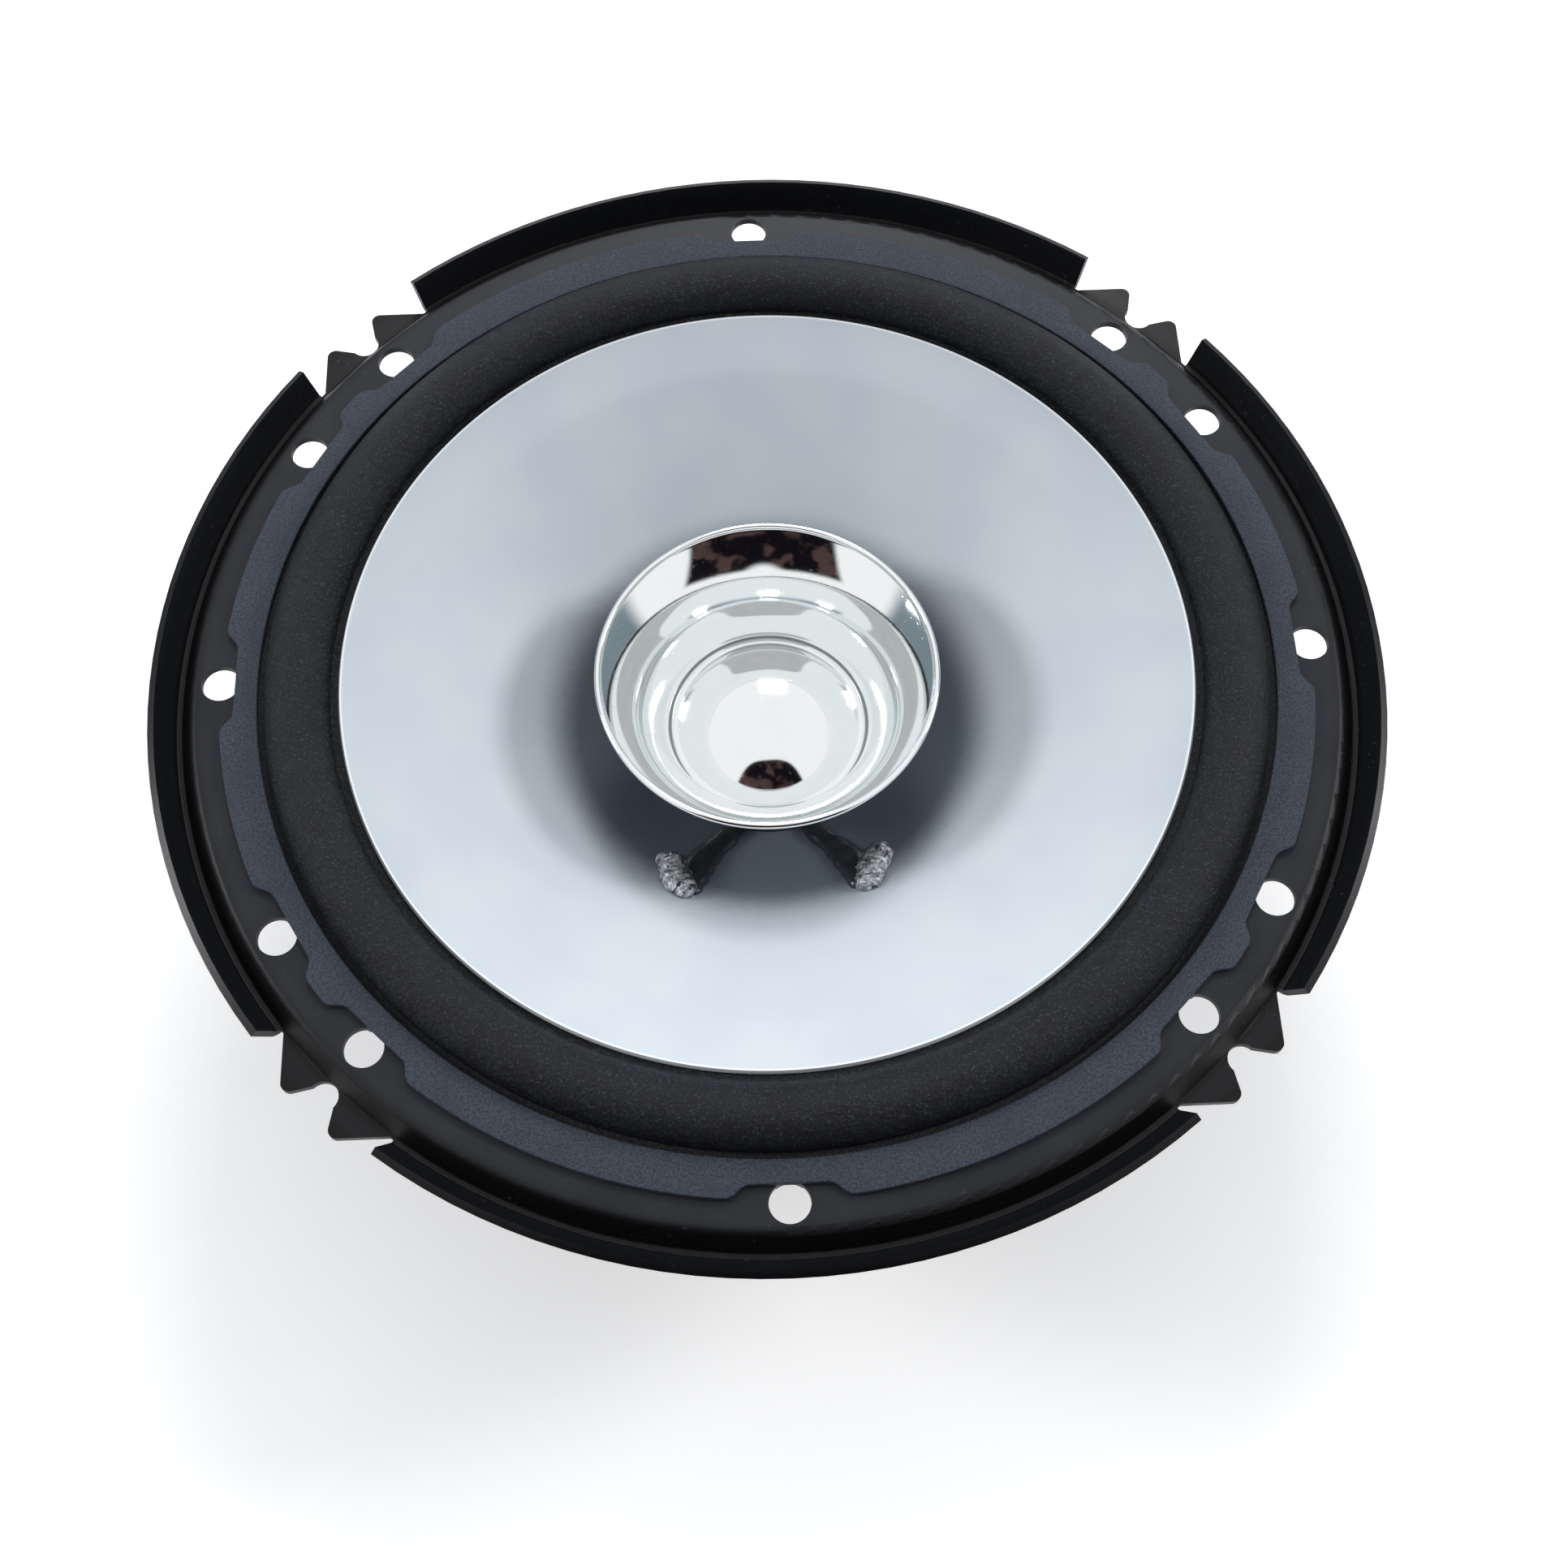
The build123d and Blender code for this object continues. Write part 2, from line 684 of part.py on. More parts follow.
# Lead-outs on the cone: eyelets, solder and the glue that covers the coil's wires
with BuildPart() as eyelets:
    for side in (-1, 1):
        with BuildSketch(on_cone(side).offset(eyelet_lift)):
            Circle(eyelet_flange)
        extrude(amount=eyelet_sheet)
        with BuildSketch(on_cone(side).offset(-eyelet_back)):
            Circle(eyelet_shank - eyelet_lift)
        extrude(amount=eyelet_back + eyelet_lift)
        with BuildSketch(on_cone(side).offset(-eyelet_back)):
            Circle(eyelet_back_flange)
        extrude(amount=eyelet_sheet)
        with BuildSketch(on_cone(side).offset(-2 * eyelet_back)):
            Circle(eyelet_bore)
        extrude(amount=4 * eyelet_back, mode=Mode.SUBTRACT)
eyelets.part.label = "eyelets"
export_step(eyelets.part, "parts/eyelets.step")

with BuildPart() as solder_joints:
    for side in (-1, 1):
        place = on_cone(side).offset(eyelet_lift + eyelet_sheet)
        turned = Axis(place.origin, place.z_dir)
        long_way = place.y_dir.rotate(turned, -side * solder_turn)
        upright = Plane(origin=place.origin, x_dir=long_way, z_dir=long_way.cross(place.z_dir))
        with BuildSketch(upright):
            Ellipse(solder_length / 2, solder_height)
            with Locations((0, -solder_height)):
                Rectangle(2 * solder_length, 2 * solder_height, mode=Mode.SUBTRACT)
            with Locations((0, solder_height)):
                Rectangle(2 * solder_length, 2 * solder_height, mode=Mode.INTERSECT)
        extrude(amount=solder_width / 2, both=True)
solder_joints.part.label = "solder_joints"
export_step(solder_joints.part, "parts/solder_joints.step")

# Radius and angle from the -Y axis of each point of a track, from the eyelet to the neck
track_stations = (
    (eyelet_circle - 2.2, eyelet_angle - 5.2),
    (neck_outer + 6.3, eyelet_angle - 5.2),
    (neck_outer + 3.0, eyelet_angle - 7.5),
    (neck_outer + 1.7, eyelet_angle - 10.4),
)
with BuildPart() as lead_glue:
    for side in (-1, 1):
        with BuildLine() as track:
            path_points = []
            for radius, angle in track_stations:
                x, y = polar(radius, -90 + side * angle)
                path_points.append((x, y, -cone_depth(radius) + track_radius / 2))
            FilletPolyline(*path_points, radius=2.5)
        with BuildSketch(Plane(origin=track.line @ 0, z_dir=track.line % 0)):
            Circle(track_radius)
        sweep(path=track.line)
    add(cone.part, mode=Mode.SUBTRACT)
    add(neck_glue.part, mode=Mode.SUBTRACT)
    add(whizzer_cone.part, mode=Mode.SUBTRACT)
lead_glue.part.label = "lead_glue"
export_step(lead_glue.part, "parts/lead_glue.step")


# Terminal board and its two tabs, each with a lug that stands through the port
with BuildPart() as terminal_board:
    with BuildSketch(seat):
        RectangleRounded(board_length, board_width, 1)
        with GridLocations(rivet_spacing, 1, 2, 1):
            Circle(rivet_radius, mode=Mode.SUBTRACT)
        with GridLocations(tab_spacing, 1, 2, 1):
            Rectangle(lug_width + slot_clearance, tab_thickness + slot_clearance, mode=Mode.SUBTRACT)
    extrude(amount=board_thickness)
terminal_board.part.label = "terminal_board"
export_step(terminal_board.part, "parts/terminal_board.step")

with BuildPart() as board_rivets:
    inner_face = -sheet - seat_bulge
    with BuildSketch(seat.offset(inner_face)):
        with GridLocations(rivet_spacing, 1, 2, 1):
            Circle(rivet_radius)
    extrude(amount=board_thickness - inner_face)
    with BuildSketch(seat.offset(board_thickness)):
        with GridLocations(rivet_spacing, 1, 2, 1):
            Circle(rivet_head)
    extrude(amount=rivet_head_height, taper=25)
    with BuildSketch(seat.offset(inner_face)):
        with GridLocations(rivet_spacing, 1, 2, 1):
            Circle(inner_head)
    extrude(amount=-rivet_head_height, taper=25)
board_rivets.part.label = "board_rivets"
export_step(board_rivets.part, "parts/board_rivets.step")


def terminal(name, side, width):
    """A tab on the board's outside, with its lug bent through the board."""
    with BuildPart() as tab:
        with BuildSketch(seat.offset(board_thickness)):
            with Locations((side * tab_spacing / 2, (tab_reach - tab_root) / 2)):
                Rectangle(width, tab_reach + tab_root)
        extrude(amount=tab_thickness)
        chamfer(tab.edges().group_by(Axis.Z)[-1], tab_chamfer)
        with BuildSketch(seat.offset(board_thickness)):
            with Locations((side * tab_spacing / 2, 0)):
                Rectangle(lug_width, tab_thickness)
        extrude(amount=-board_thickness - lug_rise)
    tab.part.label = name
    return tab.part


terminal_positive = terminal("terminal_positive", 1, positive_tab_width)
export_step(terminal_positive, "parts/terminal_positive.step")
terminal_negative = terminal("terminal_negative", -1, negative_tab_width)
export_step(terminal_negative, "parts/terminal_negative.step")


def lead(name, side):
    """A tinsel lead from a lug, in a slack curve, to the back of an eyelet."""
    eyelet = on_cone(side)
    back = eyelet.origin - eyelet.z_dir * (eyelet_back + eyelet_lift)
    clear = back - eyelet.z_dir * lead_slack
    lug = seat.origin + Vector(side * tab_spacing / 2, 0, 0) - seat.z_dir * (lug_rise + lead_gap)
    with BuildPart() as wire:
        with BuildLine() as route:
            FilletPolyline(
                lug,
                lug + Vector(side * 0.6, 2.8, 1.6),
                (side * 8.6, -39.5, -15.0),
                (side * 11.6, -33.0, -19.2),
                clear,
                back,
                radius=(1.8, 3.0, 4.0, 1.6),
            )
        with BuildSketch(Plane(origin=route.line @ 0, z_dir=route.line % 0)):
            Circle(lead_radius)
        sweep(path=route.line)
    wire.part.label = name
    return wire.part


for name, side in (("lead_positive", 1), ("lead_negative", -1)):
    export_step(lead(name, side), f"parts/{name}.step")
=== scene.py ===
"""Looks of a 16 cm dual-cone car loudspeaker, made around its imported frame.

The flange plate's top is at Z 0, the speaker fires along +Z and its terminals are on the -Y side.
Blender works in metres; sizes below are in millimetres unless a name says otherwise.
"""

from math import asin, cos, hypot, pi, radians, sin, sqrt

import bpy
import numpy as np
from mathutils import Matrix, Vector


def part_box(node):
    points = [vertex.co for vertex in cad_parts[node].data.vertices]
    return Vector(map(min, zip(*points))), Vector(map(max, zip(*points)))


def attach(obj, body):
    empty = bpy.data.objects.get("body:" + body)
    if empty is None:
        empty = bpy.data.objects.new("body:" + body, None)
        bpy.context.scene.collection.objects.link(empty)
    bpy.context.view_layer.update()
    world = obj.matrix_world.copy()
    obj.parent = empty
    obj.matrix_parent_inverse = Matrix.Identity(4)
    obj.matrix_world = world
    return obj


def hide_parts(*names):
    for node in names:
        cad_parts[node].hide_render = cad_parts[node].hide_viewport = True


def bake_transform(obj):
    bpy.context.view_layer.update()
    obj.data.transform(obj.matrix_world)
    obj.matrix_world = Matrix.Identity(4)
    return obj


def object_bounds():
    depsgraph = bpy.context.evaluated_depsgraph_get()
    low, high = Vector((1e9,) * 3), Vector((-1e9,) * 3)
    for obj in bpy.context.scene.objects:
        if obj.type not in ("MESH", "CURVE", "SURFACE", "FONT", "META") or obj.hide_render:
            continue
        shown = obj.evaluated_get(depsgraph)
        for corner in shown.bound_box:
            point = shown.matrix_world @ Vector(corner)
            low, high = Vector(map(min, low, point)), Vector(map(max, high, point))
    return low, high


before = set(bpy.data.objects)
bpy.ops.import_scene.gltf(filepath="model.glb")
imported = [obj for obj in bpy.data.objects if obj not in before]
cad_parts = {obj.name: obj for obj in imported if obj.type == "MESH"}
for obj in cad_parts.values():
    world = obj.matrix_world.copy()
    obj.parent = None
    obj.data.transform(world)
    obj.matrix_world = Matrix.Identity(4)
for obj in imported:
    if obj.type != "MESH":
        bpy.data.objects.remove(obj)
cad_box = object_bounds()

MM = 0.001
STEPS = 360                      # points round a turned piece
MIRROR_STEPS = 512               # and round a mirror

# ---------------------------------------------------------------- camera

VIEW_HEIGHT = radians(64.8214)   # of the camera over the horizon
VIEW_SIDE = radians(1.8555)
VIEW_ROLL = radians(0.551)
VIEW_DISTANCE = 267.5
VIEW_SHIFT = (-2.07, 15.81)      # the frame's centre is off the origin by this, across and up
LENS = 47.11                     # on a 36 mm sensor


def place_camera():
    """Camera at the viewing angle: back, right and up are the view's own directions, then rolled."""
    c, s = cos(VIEW_HEIGHT), sin(VIEW_HEIGHT)
    back = np.array([-c * sin(VIEW_SIDE), -c * cos(VIEW_SIDE), s])
    right = np.array([cos(VIEW_SIDE), -sin(VIEW_SIDE), 0.0])
    up = np.cross(back, right)
    place = back * VIEW_DISTANCE - right * VIEW_SHIFT[0] - up * VIEW_SHIFT[1]
    across = right * cos(VIEW_ROLL) - up * sin(VIEW_ROLL)
    upward = right * sin(VIEW_ROLL) + up * cos(VIEW_ROLL)
    data = bpy.data.cameras.new("camera")
    data.sensor_width = 36
    data.lens = LENS
    data.clip_start = 0.01
    camera = bpy.data.objects.new("camera", data)
    matrix = np.eye(4)
    matrix[:3, 0], matrix[:3, 1], matrix[:3, 2], matrix[:3, 3] = across, upward, back, place * MM
    camera.matrix_world = matrix.T.tolist()
    bpy.context.scene.collection.objects.link(camera)
    bpy.context.scene.camera = camera


place_camera()

# ---------------------------------------------------------------- finishes

THREAD_PITCH = 0.62              # two threads of the spider's weave
WIRE_PITCH = 0.2                 # one turn of the coil
BRAID_CROSSINGS = 60             # along a lead
BRAID_STRANDS = 5                # round it


class Wire:
    """A value that changes over a surface. Python's operators on it add Math nodes."""

    def __init__(self, finish, socket):
        self.finish = finish
        self.socket = socket

    def math(self, operation, *values):
        return self.finish.node("ShaderNodeMath", {"operation": operation}, values)

    def __add__(self, other):
        return self.math("ADD", self, other)

    def __sub__(self, other):
        return self.math("SUBTRACT", self, other)

    def __rsub__(self, other):
        return self.math("SUBTRACT", other, self)

    def __mul__(self, other):
        return self.math("MULTIPLY", self, other)

    def __truediv__(self, other):
        return self.math("DIVIDE", self, other)

    def __pow__(self, other):
        return self.math("POWER", self, other)

    __radd__ = __add__
    __rmul__ = __mul__

    def sine(self):
        return self.math("SINE", self)

    def least(self, other):
        return self.math("MINIMUM", self, other)

    def most(self, other):
        return self.math("MAXIMUM", self, other)

    def between(self, low, high):
        """0 below low, 1 above high, and a smooth step from one to the other."""
        return self.finish.node(
            "ShaderNodeMapRange", {"interpolation_type": "SMOOTHSTEP"},
            {"Value": self, "From Min": low, "From Max": high})

    def near(self, middle, reach):
        """1 at middle, falling smoothly to 0 at reach to either side."""
        return 1 - self.math("ABSOLUTE", self - middle).between(0, reach)


class Finish:
    """A material in the making, on the piece's own coordinates in millimetres."""

    def __init__(self, name, tree=None):
        if tree is None:
            self.material = bpy.data.materials.new(name)
            self.material.use_nodes = True
            tree = self.material.node_tree
            self.shader = tree.nodes["Principled BSDF"]
        self.tree = tree

    def node(self, kind, settings=None, inputs=(), output=0):
        """A node of this kind with its settings, and its inputs given as values or wires."""
        made = self.tree.nodes.new(kind)
        for key, value in (settings or {}).items():
            setattr(made, key, value)
        for key, value in inputs.items() if isinstance(inputs, dict) else enumerate(inputs):
            if isinstance(value, Wire):
                self.tree.links.new(value.socket, made.inputs[key])
            else:
                made.inputs[key].default_value = value
        return Wire(self, made.outputs[output])

    def place(self):
        """Where a point of the piece is, in millimetres."""
        metres = self.node("ShaderNodeTexCoord", output="Object")
        return self.vector("SCALE", metres, Scale=1 / MM)

    def vector(self, operation, *values, output=0, **named):
        return self.node("ShaderNodeVectorMath", {"operation": operation},
                         {**dict(enumerate(values)), **named}, output)

    def parts(self, vector):
        split = self.node("ShaderNodeSeparateXYZ", inputs=[vector]).socket.node
        return [Wire(self, split.outputs[k]) for k in range(3)]

    def join(self, *values):
        return self.node("ShaderNodeCombineXYZ", inputs=values)

    def noise(self, size, detail=2.0, roughness=0.5, place=None, distortion=0.0):
        """Cloudy noise from 0 to 1 with lumps of this size."""
        return self.node("ShaderNodeTexNoise", {}, {
            "Vector": place or self.place(), "Scale": 1 / size, "Detail": detail,
            "Roughness": roughness, "Distortion": distortion})

    def cells(self, size, place=None, feature="F1"):
        """Distance to the nearest of many scattered points, this far apart."""
        return self.node("ShaderNodeTexVoronoi", {"feature": feature},
                         {"Vector": place or self.place(), "Scale": 1 / size})

    def radius(self):
        flat = self.vector("MULTIPLY", self.place(), (1.0, 1.0, 0.0))
        return self.vector("LENGTH", flat, output="Value")

    def facing_up(self):
        """1 on faces that look up, 0 on faces that look down."""
        normal = self.node("ShaderNodeNewGeometry", output="True Normal")
        return self.parts(normal)[2].between(-0.05, 0.05)

    def mix(self, share, first, second):
        """A colour between two."""
        ends = [value if isinstance(value, Wire) else (*value, 1.0) for value in (first, second)]
        return self.node("ShaderNodeMix", {"data_type": "RGBA"},
                         {0: share, 6: ends[0], 7: ends[1]}, 2)

    def even(self, **values):
        """Values that are the same all over, by the shader's own input names."""
        for key, value in values.items():
            label = key.replace("_", " ").title().replace("Ior", "IOR")
            self.shader.inputs[label].default_value = value
        return self

    def varied(self, **wires):
        """Values that change over the surface, by the shader's own input names."""
        for key, wire in wires.items():
            self.tree.links.new(wire.socket, self.shader.inputs[key.replace("_", " ").title()])
        return self

    def relief(self, height, depth, strength=1.0):
        """Bumps: height from 0 to 1 stands depth millimetres proud."""
        bump = self.node("ShaderNodeBump", {}, {
            "Height": height, "Distance": depth * MM, "Strength": strength}, output="Normal")
        return self.varied(normal=bump)


def basket_paint():
    """Satin black paint with a fine orange peel, glossier on the rolled lip, worn pale on a few specks, with
    painted shade in its groove.
    """
    f = Finish("satin_black_paint")
    r = f.radius()
    cloud = f.noise(9.0, 3.0)
    dust = f.noise(0.55, 2.0, 0.6).between(0.66, 0.72) * f.noise(14.0).between(0.45, 0.7)
    tone = f.mix(cloud.between(0.3, 0.7), (0.010, 0.0115, 0.0155), (0.016, 0.018, 0.0235))
    # Painted shade: near black from r 72.8 to 75.2, in the groove between the plate and the lip.
    tone = f.mix(r.between(72.8, 75.2), tone, (0.0015, 0.0015, 0.002))
    tone = f.mix(r.between(76.6, 77.4) * (1 - r.between(79.0, 79.8)), tone, (0.0045, 0.005, 0.007))
    tone = f.mix(dust * 0.3, tone, (0.16, 0.16, 0.16))
    gloss = r.between(77.2, 77.9)
    f.varied(base_color=tone, roughness=0.4 + cloud * 0.1 - gloss * 0.12)
    f.relief(f.noise(0.5, 2.0), 0.012, 0.6)
    return f.even(specular_ior_level=0.22)


def gasket_foam():
    """Slate-grey foamed rubber, finely speckled, with a few soft darker blotches."""
    f = Finish("slate_gasket_foam")
    speck = f.noise(0.28, 2.0, 0.7)
    tone = f.mix(speck.between(0.35, 0.65), (0.016, 0.021, 0.031), (0.052, 0.065, 0.09))
    tone = f.mix(f.noise(6.0).between(0.35, 0.7) * 0.3, tone, (0.022, 0.027, 0.038))
    f.varied(base_color=tone, roughness=0.6 + speck * 0.25)
    f.relief(speck, 0.09, 0.8)
    return f.even(specular_ior_level=0.35)


def roll_foam():
    """Black open foam of the surround: small cells, pale grains and soft blotches."""
    f = Finish("black_roll_foam")
    grain = f.noise(0.32, 3.0, 0.75)
    blotch = f.noise(3.2, 3.0, 0.6)
    tone = f.mix(blotch.between(0.3, 0.75), (0.0012, 0.0012, 0.002), (0.004, 0.005, 0.008))
    tone = f.mix(grain.between(0.54, 0.68) * 0.9, tone, (0.05, 0.062, 0.085))
    f.varied(base_color=tone, roughness=0.36 + grain * 0.28)
    f.relief(grain * 0.7 + f.cells(0.7) * 0.3, 0.26, 1.0)
    return f.even(specular_ior_level=0.26)


def cone_paper():
    """Pressed paper sprayed pale silver on its front, with painted shade round the whizzer, a painted
    highlight along its cut edge, and black behind.
    """
    f = Finish("silver_cone_paper")
    z = f.parts(f.place())[2]
    r = f.radius()
    fibre = f.noise(1.1, 4.0, 0.65, distortion=0.6)
    cloud = f.noise(16.0, 2.0)
    tone = f.mix(cloud.between(0.3, 0.7), (0.565, 0.625, 0.69), (0.61, 0.668, 0.72))
    tone = f.mix(fibre.between(0.62, 0.8) * 0.12, tone, (0.4, 0.45, 0.5))
    # Painted shade: the silver darkens towards the neck inside r 25 to 32, standing in for the whizzer's
    # shade on the cone.
    painted_shade_ring = 1 - (r + (fibre - 0.5) * 0.8).between(25.4, 32.2)
    tone = f.mix(painted_shade_ring * 0.9, tone, (0.055, 0.08, 0.098))
    # Painted highlight: near white on the top of the cone's cut edge, where light catches it.
    edge = r.between(55.05, 55.3) * z.between(0.35, 0.6)
    tone = f.mix(edge, tone, (0.9, 0.93, 0.96))
    behind = f.mix(fibre, (0.012, 0.012, 0.013), (0.035, 0.034, 0.034))
    up = f.facing_up()
    f.varied(base_color=f.mix(up, behind, tone), roughness=0.78 - up * 0.38 + fibre * 0.06)
    f.relief(fibre, 0.02, 0.35)
    return f.even(specular_ior_level=0.35)


def mirror_foil():
    """Metallised foil over paper: a mirror with slight pressing waves in front, black paper behind."""
    f = Finish("metallised_foil")
    up = f.facing_up()
    haze = f.noise(5.0, 3.0, 0.6)
    dust = f.noise(0.5, 1.0, 0.4).between(0.68, 0.74)
    front = f.mix(haze, (0.83, 0.87, 0.88), (0.9, 0.92, 0.925))
    tone = f.mix(up, (0.015, 0.015, 0.016), front)
    f.varied(base_color=tone, metallic=up * 1.0,
             roughness=(1 - up) * 0.55 + up * (0.035 + haze * 0.045 + dust * 0.1))
    f.relief(f.noise(2.6, 2.0), 0.006, 0.5)
    return f


def black_glue():
    """Thick black cement, glossy, drawn into ridges as it set."""
    f = Finish("black_cement")
    lump = f.noise(2.0, 2.0, 0.5, distortion=0.4)
    tone = f.mix(lump, (0.012, 0.015, 0.018), (0.035, 0.042, 0.048))
    f.varied(base_color=tone, roughness=0.12 + lump * 0.16)
    f.relief(lump, 0.25, 0.5)
    return f


def solder_metal():
    """Hand-laid solder: bright crests, dull grey hollows and specks of burnt flux."""
    f = Finish("solder_metal")
    lump = f.noise(0.75, 4.0, 0.75, distortion=0.8)
    flux = f.noise(0.9, 2.0, 0.6).between(0.56, 0.66)
    tone = f.mix(lump.between(0.3, 0.7), (0.07, 0.08, 0.09), (0.72, 0.75, 0.78))
    tone = f.mix(flux, tone, (0.03, 0.035, 0.04))
    f.varied(base_color=tone, metallic=1 - flux * 0.8, roughness=0.18 + lump * 0.3)
    f.relief(lump, 0.35, 1.0)
    return f


def zinc_plate():
    """Zinc-plated steel: soft spangle, faint turning marks and a few dark handling spots."""
    f = Finish("zinc_plate")
    spangle = f.cells(1.6)
    marks = (f.radius() * 9.0).sine() * 0.5 + 0.5
    stain = f.noise(7.0, 3.0, 0.6).between(0.5, 0.75)
    tone = f.mix(spangle, (0.46, 0.45, 0.4), (0.62, 0.61, 0.56))
    tone = f.mix(stain * 0.4, tone, (0.3, 0.28, 0.22))
    f.varied(base_color=tone, roughness=0.26 + spangle * 0.12 + stain * 0.12)
    f.relief(marks * 0.5 + spangle * 0.5, 0.01, 0.5)
    return f.even(metallic=1.0)


def ferrite():
    """Ground ferrite: charcoal grains, grinding marks and small chips along the rims."""
    f = Finish("ground_ferrite")
    grain = f.noise(0.35, 3.0, 0.7)
    chips = f.noise(1.6, 3.0, 0.6).between(0.62, 0.7) * f.radius().between(33.0, 34.6)
    tone = f.mix(grain, (0.02, 0.02, 0.022), (0.055, 0.054, 0.056))
    tone = f.mix(chips, tone, (0.13, 0.13, 0.135))
    f.varied(base_color=tone, roughness=0.5 + grain * 0.3)
    f.relief(grain * 0.4 - chips, 0.08, 0.6)
    return f


def fibre_board():
    """Pressed brown fibre board with dark and pale fibres."""
    f = Finish("brown_fibre_board")
    long_fibre = f.noise(1.4, 4.0, 0.7, place=f.vector("MULTIPLY", f.place(), (0.35, 1.6, 1.6)))
    tone = f.mix(long_fibre.between(0.3, 0.7), (0.13, 0.062, 0.028), (0.27, 0.15, 0.075))
    f.varied(base_color=tone, roughness=0.6 + long_fibre * 0.2)
    f.relief(long_fibre, 0.03, 0.6)
    return f


def worn_metal(name, dull, bright, shine):
    """Bare metal from dull to bright, rubbed along its length, with fine scratches."""
    f = Finish(name)
    rub = f.noise(1.2, 3.0, 0.65, place=f.vector("MULTIPLY", f.place(), (3.0, 0.5, 0.5)))
    cloud = f.noise(3.5, 2.0)
    f.varied(base_color=f.mix(rub * 0.6 + cloud * 0.4, dull, bright), roughness=shine + rub * 0.2)
    f.relief(rub, 0.012, 0.5)
    return f.even(metallic=1.0)


def spider_cloth():
    """Resin-dipped cotton: a plain weave in amber, darker where the resin pooled in the waves."""
    f = Finish("amber_spider_cloth")
    x, y, _ = f.parts(f.place())
    thread = 2 * pi / THREAD_PITCH
    weave = ((x * thread).sine() * (y * thread).sine()) * 0.5 + 0.5
    pool = f.noise(4.0, 3.0)
    tone = f.mix(weave, (0.3, 0.16, 0.045), (0.66, 0.44, 0.17))
    tone = f.mix(pool.between(0.45, 0.75) * 0.45, tone, (0.24, 0.12, 0.035))
    f.varied(base_color=tone, roughness=0.45 + weave * 0.3)
    f.relief(weave, 0.09, 0.8)
    return f


def tinsel_braid():
    """Flat tinsel threads braided round a core, from the lead's UV map: U along it and V round it."""
    f = Finish("tinsel_braid")
    u, v, _ = f.parts(f.node("ShaderNodeUVMap"))
    left = ((u * BRAID_CROSSINGS + v * BRAID_STRANDS) * (2 * pi)).sine()
    right = ((u * BRAID_CROSSINGS - v * BRAID_STRANDS) * (2 * pi)).sine()
    braid = left.most(right) * 0.5 + 0.5
    tone = f.mix(braid, (0.17, 0.09, 0.05), (0.78, 0.6, 0.45))
    f.varied(base_color=tone, roughness=0.3 + f.noise(0.4) * 0.25)
    f.relief(braid, 0.08, 0.8)
    return f.even(metallic=1.0)


def former_foil():
    """Rolled foil with faint lengthwise marks and a dull seam."""
    f = Finish("former_foil")
    x, y, z = f.parts(f.place())
    marks = f.noise(0.5, 3.0, 0.6, place=f.join(x * 2.0, y * 2.0, z * 0.15))
    f.varied(base_color=f.mix(marks, (0.5, 0.5, 0.51), (0.8, 0.8, 0.81)), roughness=0.22 + marks * 0.2)
    f.relief(marks, 0.01, 0.4)
    return f.even(metallic=1.0)


def coil_copper():
    """Enamelled wire wound side by side, one ridge for each turn."""
    f = Finish("enamelled_copper")
    z = f.parts(f.place())[2]
    ridge = (z * (2 * pi / WIRE_PITCH)).sine() * 0.5 + 0.5
    tone = f.mix(ridge, (0.22, 0.06, 0.02), (0.7, 0.27, 0.1))
    f.varied(base_color=tone, roughness=0.22 + f.noise(1.0) * 0.15)
    f.relief(ridge, 0.08, 0.8)
    return f.even(metallic=0.9, coat_weight=0.4, coat_roughness=0.1)


def kraft_tape():
    """Brown kraft tape with fibres and a darker glue stain."""
    f = Finish("kraft_tape")
    fibre = f.noise(0.6, 4.0, 0.7)
    stain = f.noise(2.5).between(0.5, 0.7)
    tone = f.mix(fibre, (0.32, 0.2, 0.1), (0.52, 0.36, 0.2))
    f.varied(base_color=f.mix(stain * 0.5, tone, (0.16, 0.09, 0.04)), roughness=0.62 + fibre * 0.2)
    f.relief(fibre, 0.02, 0.6)
    return f


# ---------------------------------------------------------------- shapes


def grid_faces(rows, columns, wrap_rows, wrap_columns):
    """Four-sided faces between neighbours of a grid of points, joined round where it wraps."""
    i, j = np.meshgrid(np.arange(rows if wrap_rows else rows - 1),
                       np.arange(columns if wrap_columns else columns - 1), indexing="ij")
    k, l = (i + 1) % rows, (j + 1) % columns
    return np.stack([i * columns + j, k * columns + j, k * columns + l, i * columns + l], -1).reshape(-1, 4)


def show(name, points, faces, finish, body, replaces=(), slot=None, sharp=40.0, uv=None):
    """A smooth-shaded piece from points in millimetres, sharp where faces meet at more than sharp degrees."""
    mesh = bpy.data.meshes.new(name)
    mesh.from_pydata((np.asarray(points) * MM).tolist(), [],
                     [face for block in faces for face in block.tolist()])
    mesh.polygons.foreach_set("use_smooth", np.ones(len(mesh.polygons), bool))
    mesh.set_sharp_from_angle(angle=radians(sharp))
    if uv is not None:
        corners = np.zeros(len(mesh.loops), np.int32)
        mesh.loops.foreach_get("vertex_index", corners)
        mesh.uv_layers.new(name="UVMap").data.foreach_set("uv", np.asarray(uv, np.float32)[corners].ravel())
    mesh.materials.append(finish.material)
    made = bpy.data.objects.new(name, mesh)
    bpy.context.scene.collection.objects.link(made)
    if body:
        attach(made, body)
    if replaces:
        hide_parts(*replaces)
    return made


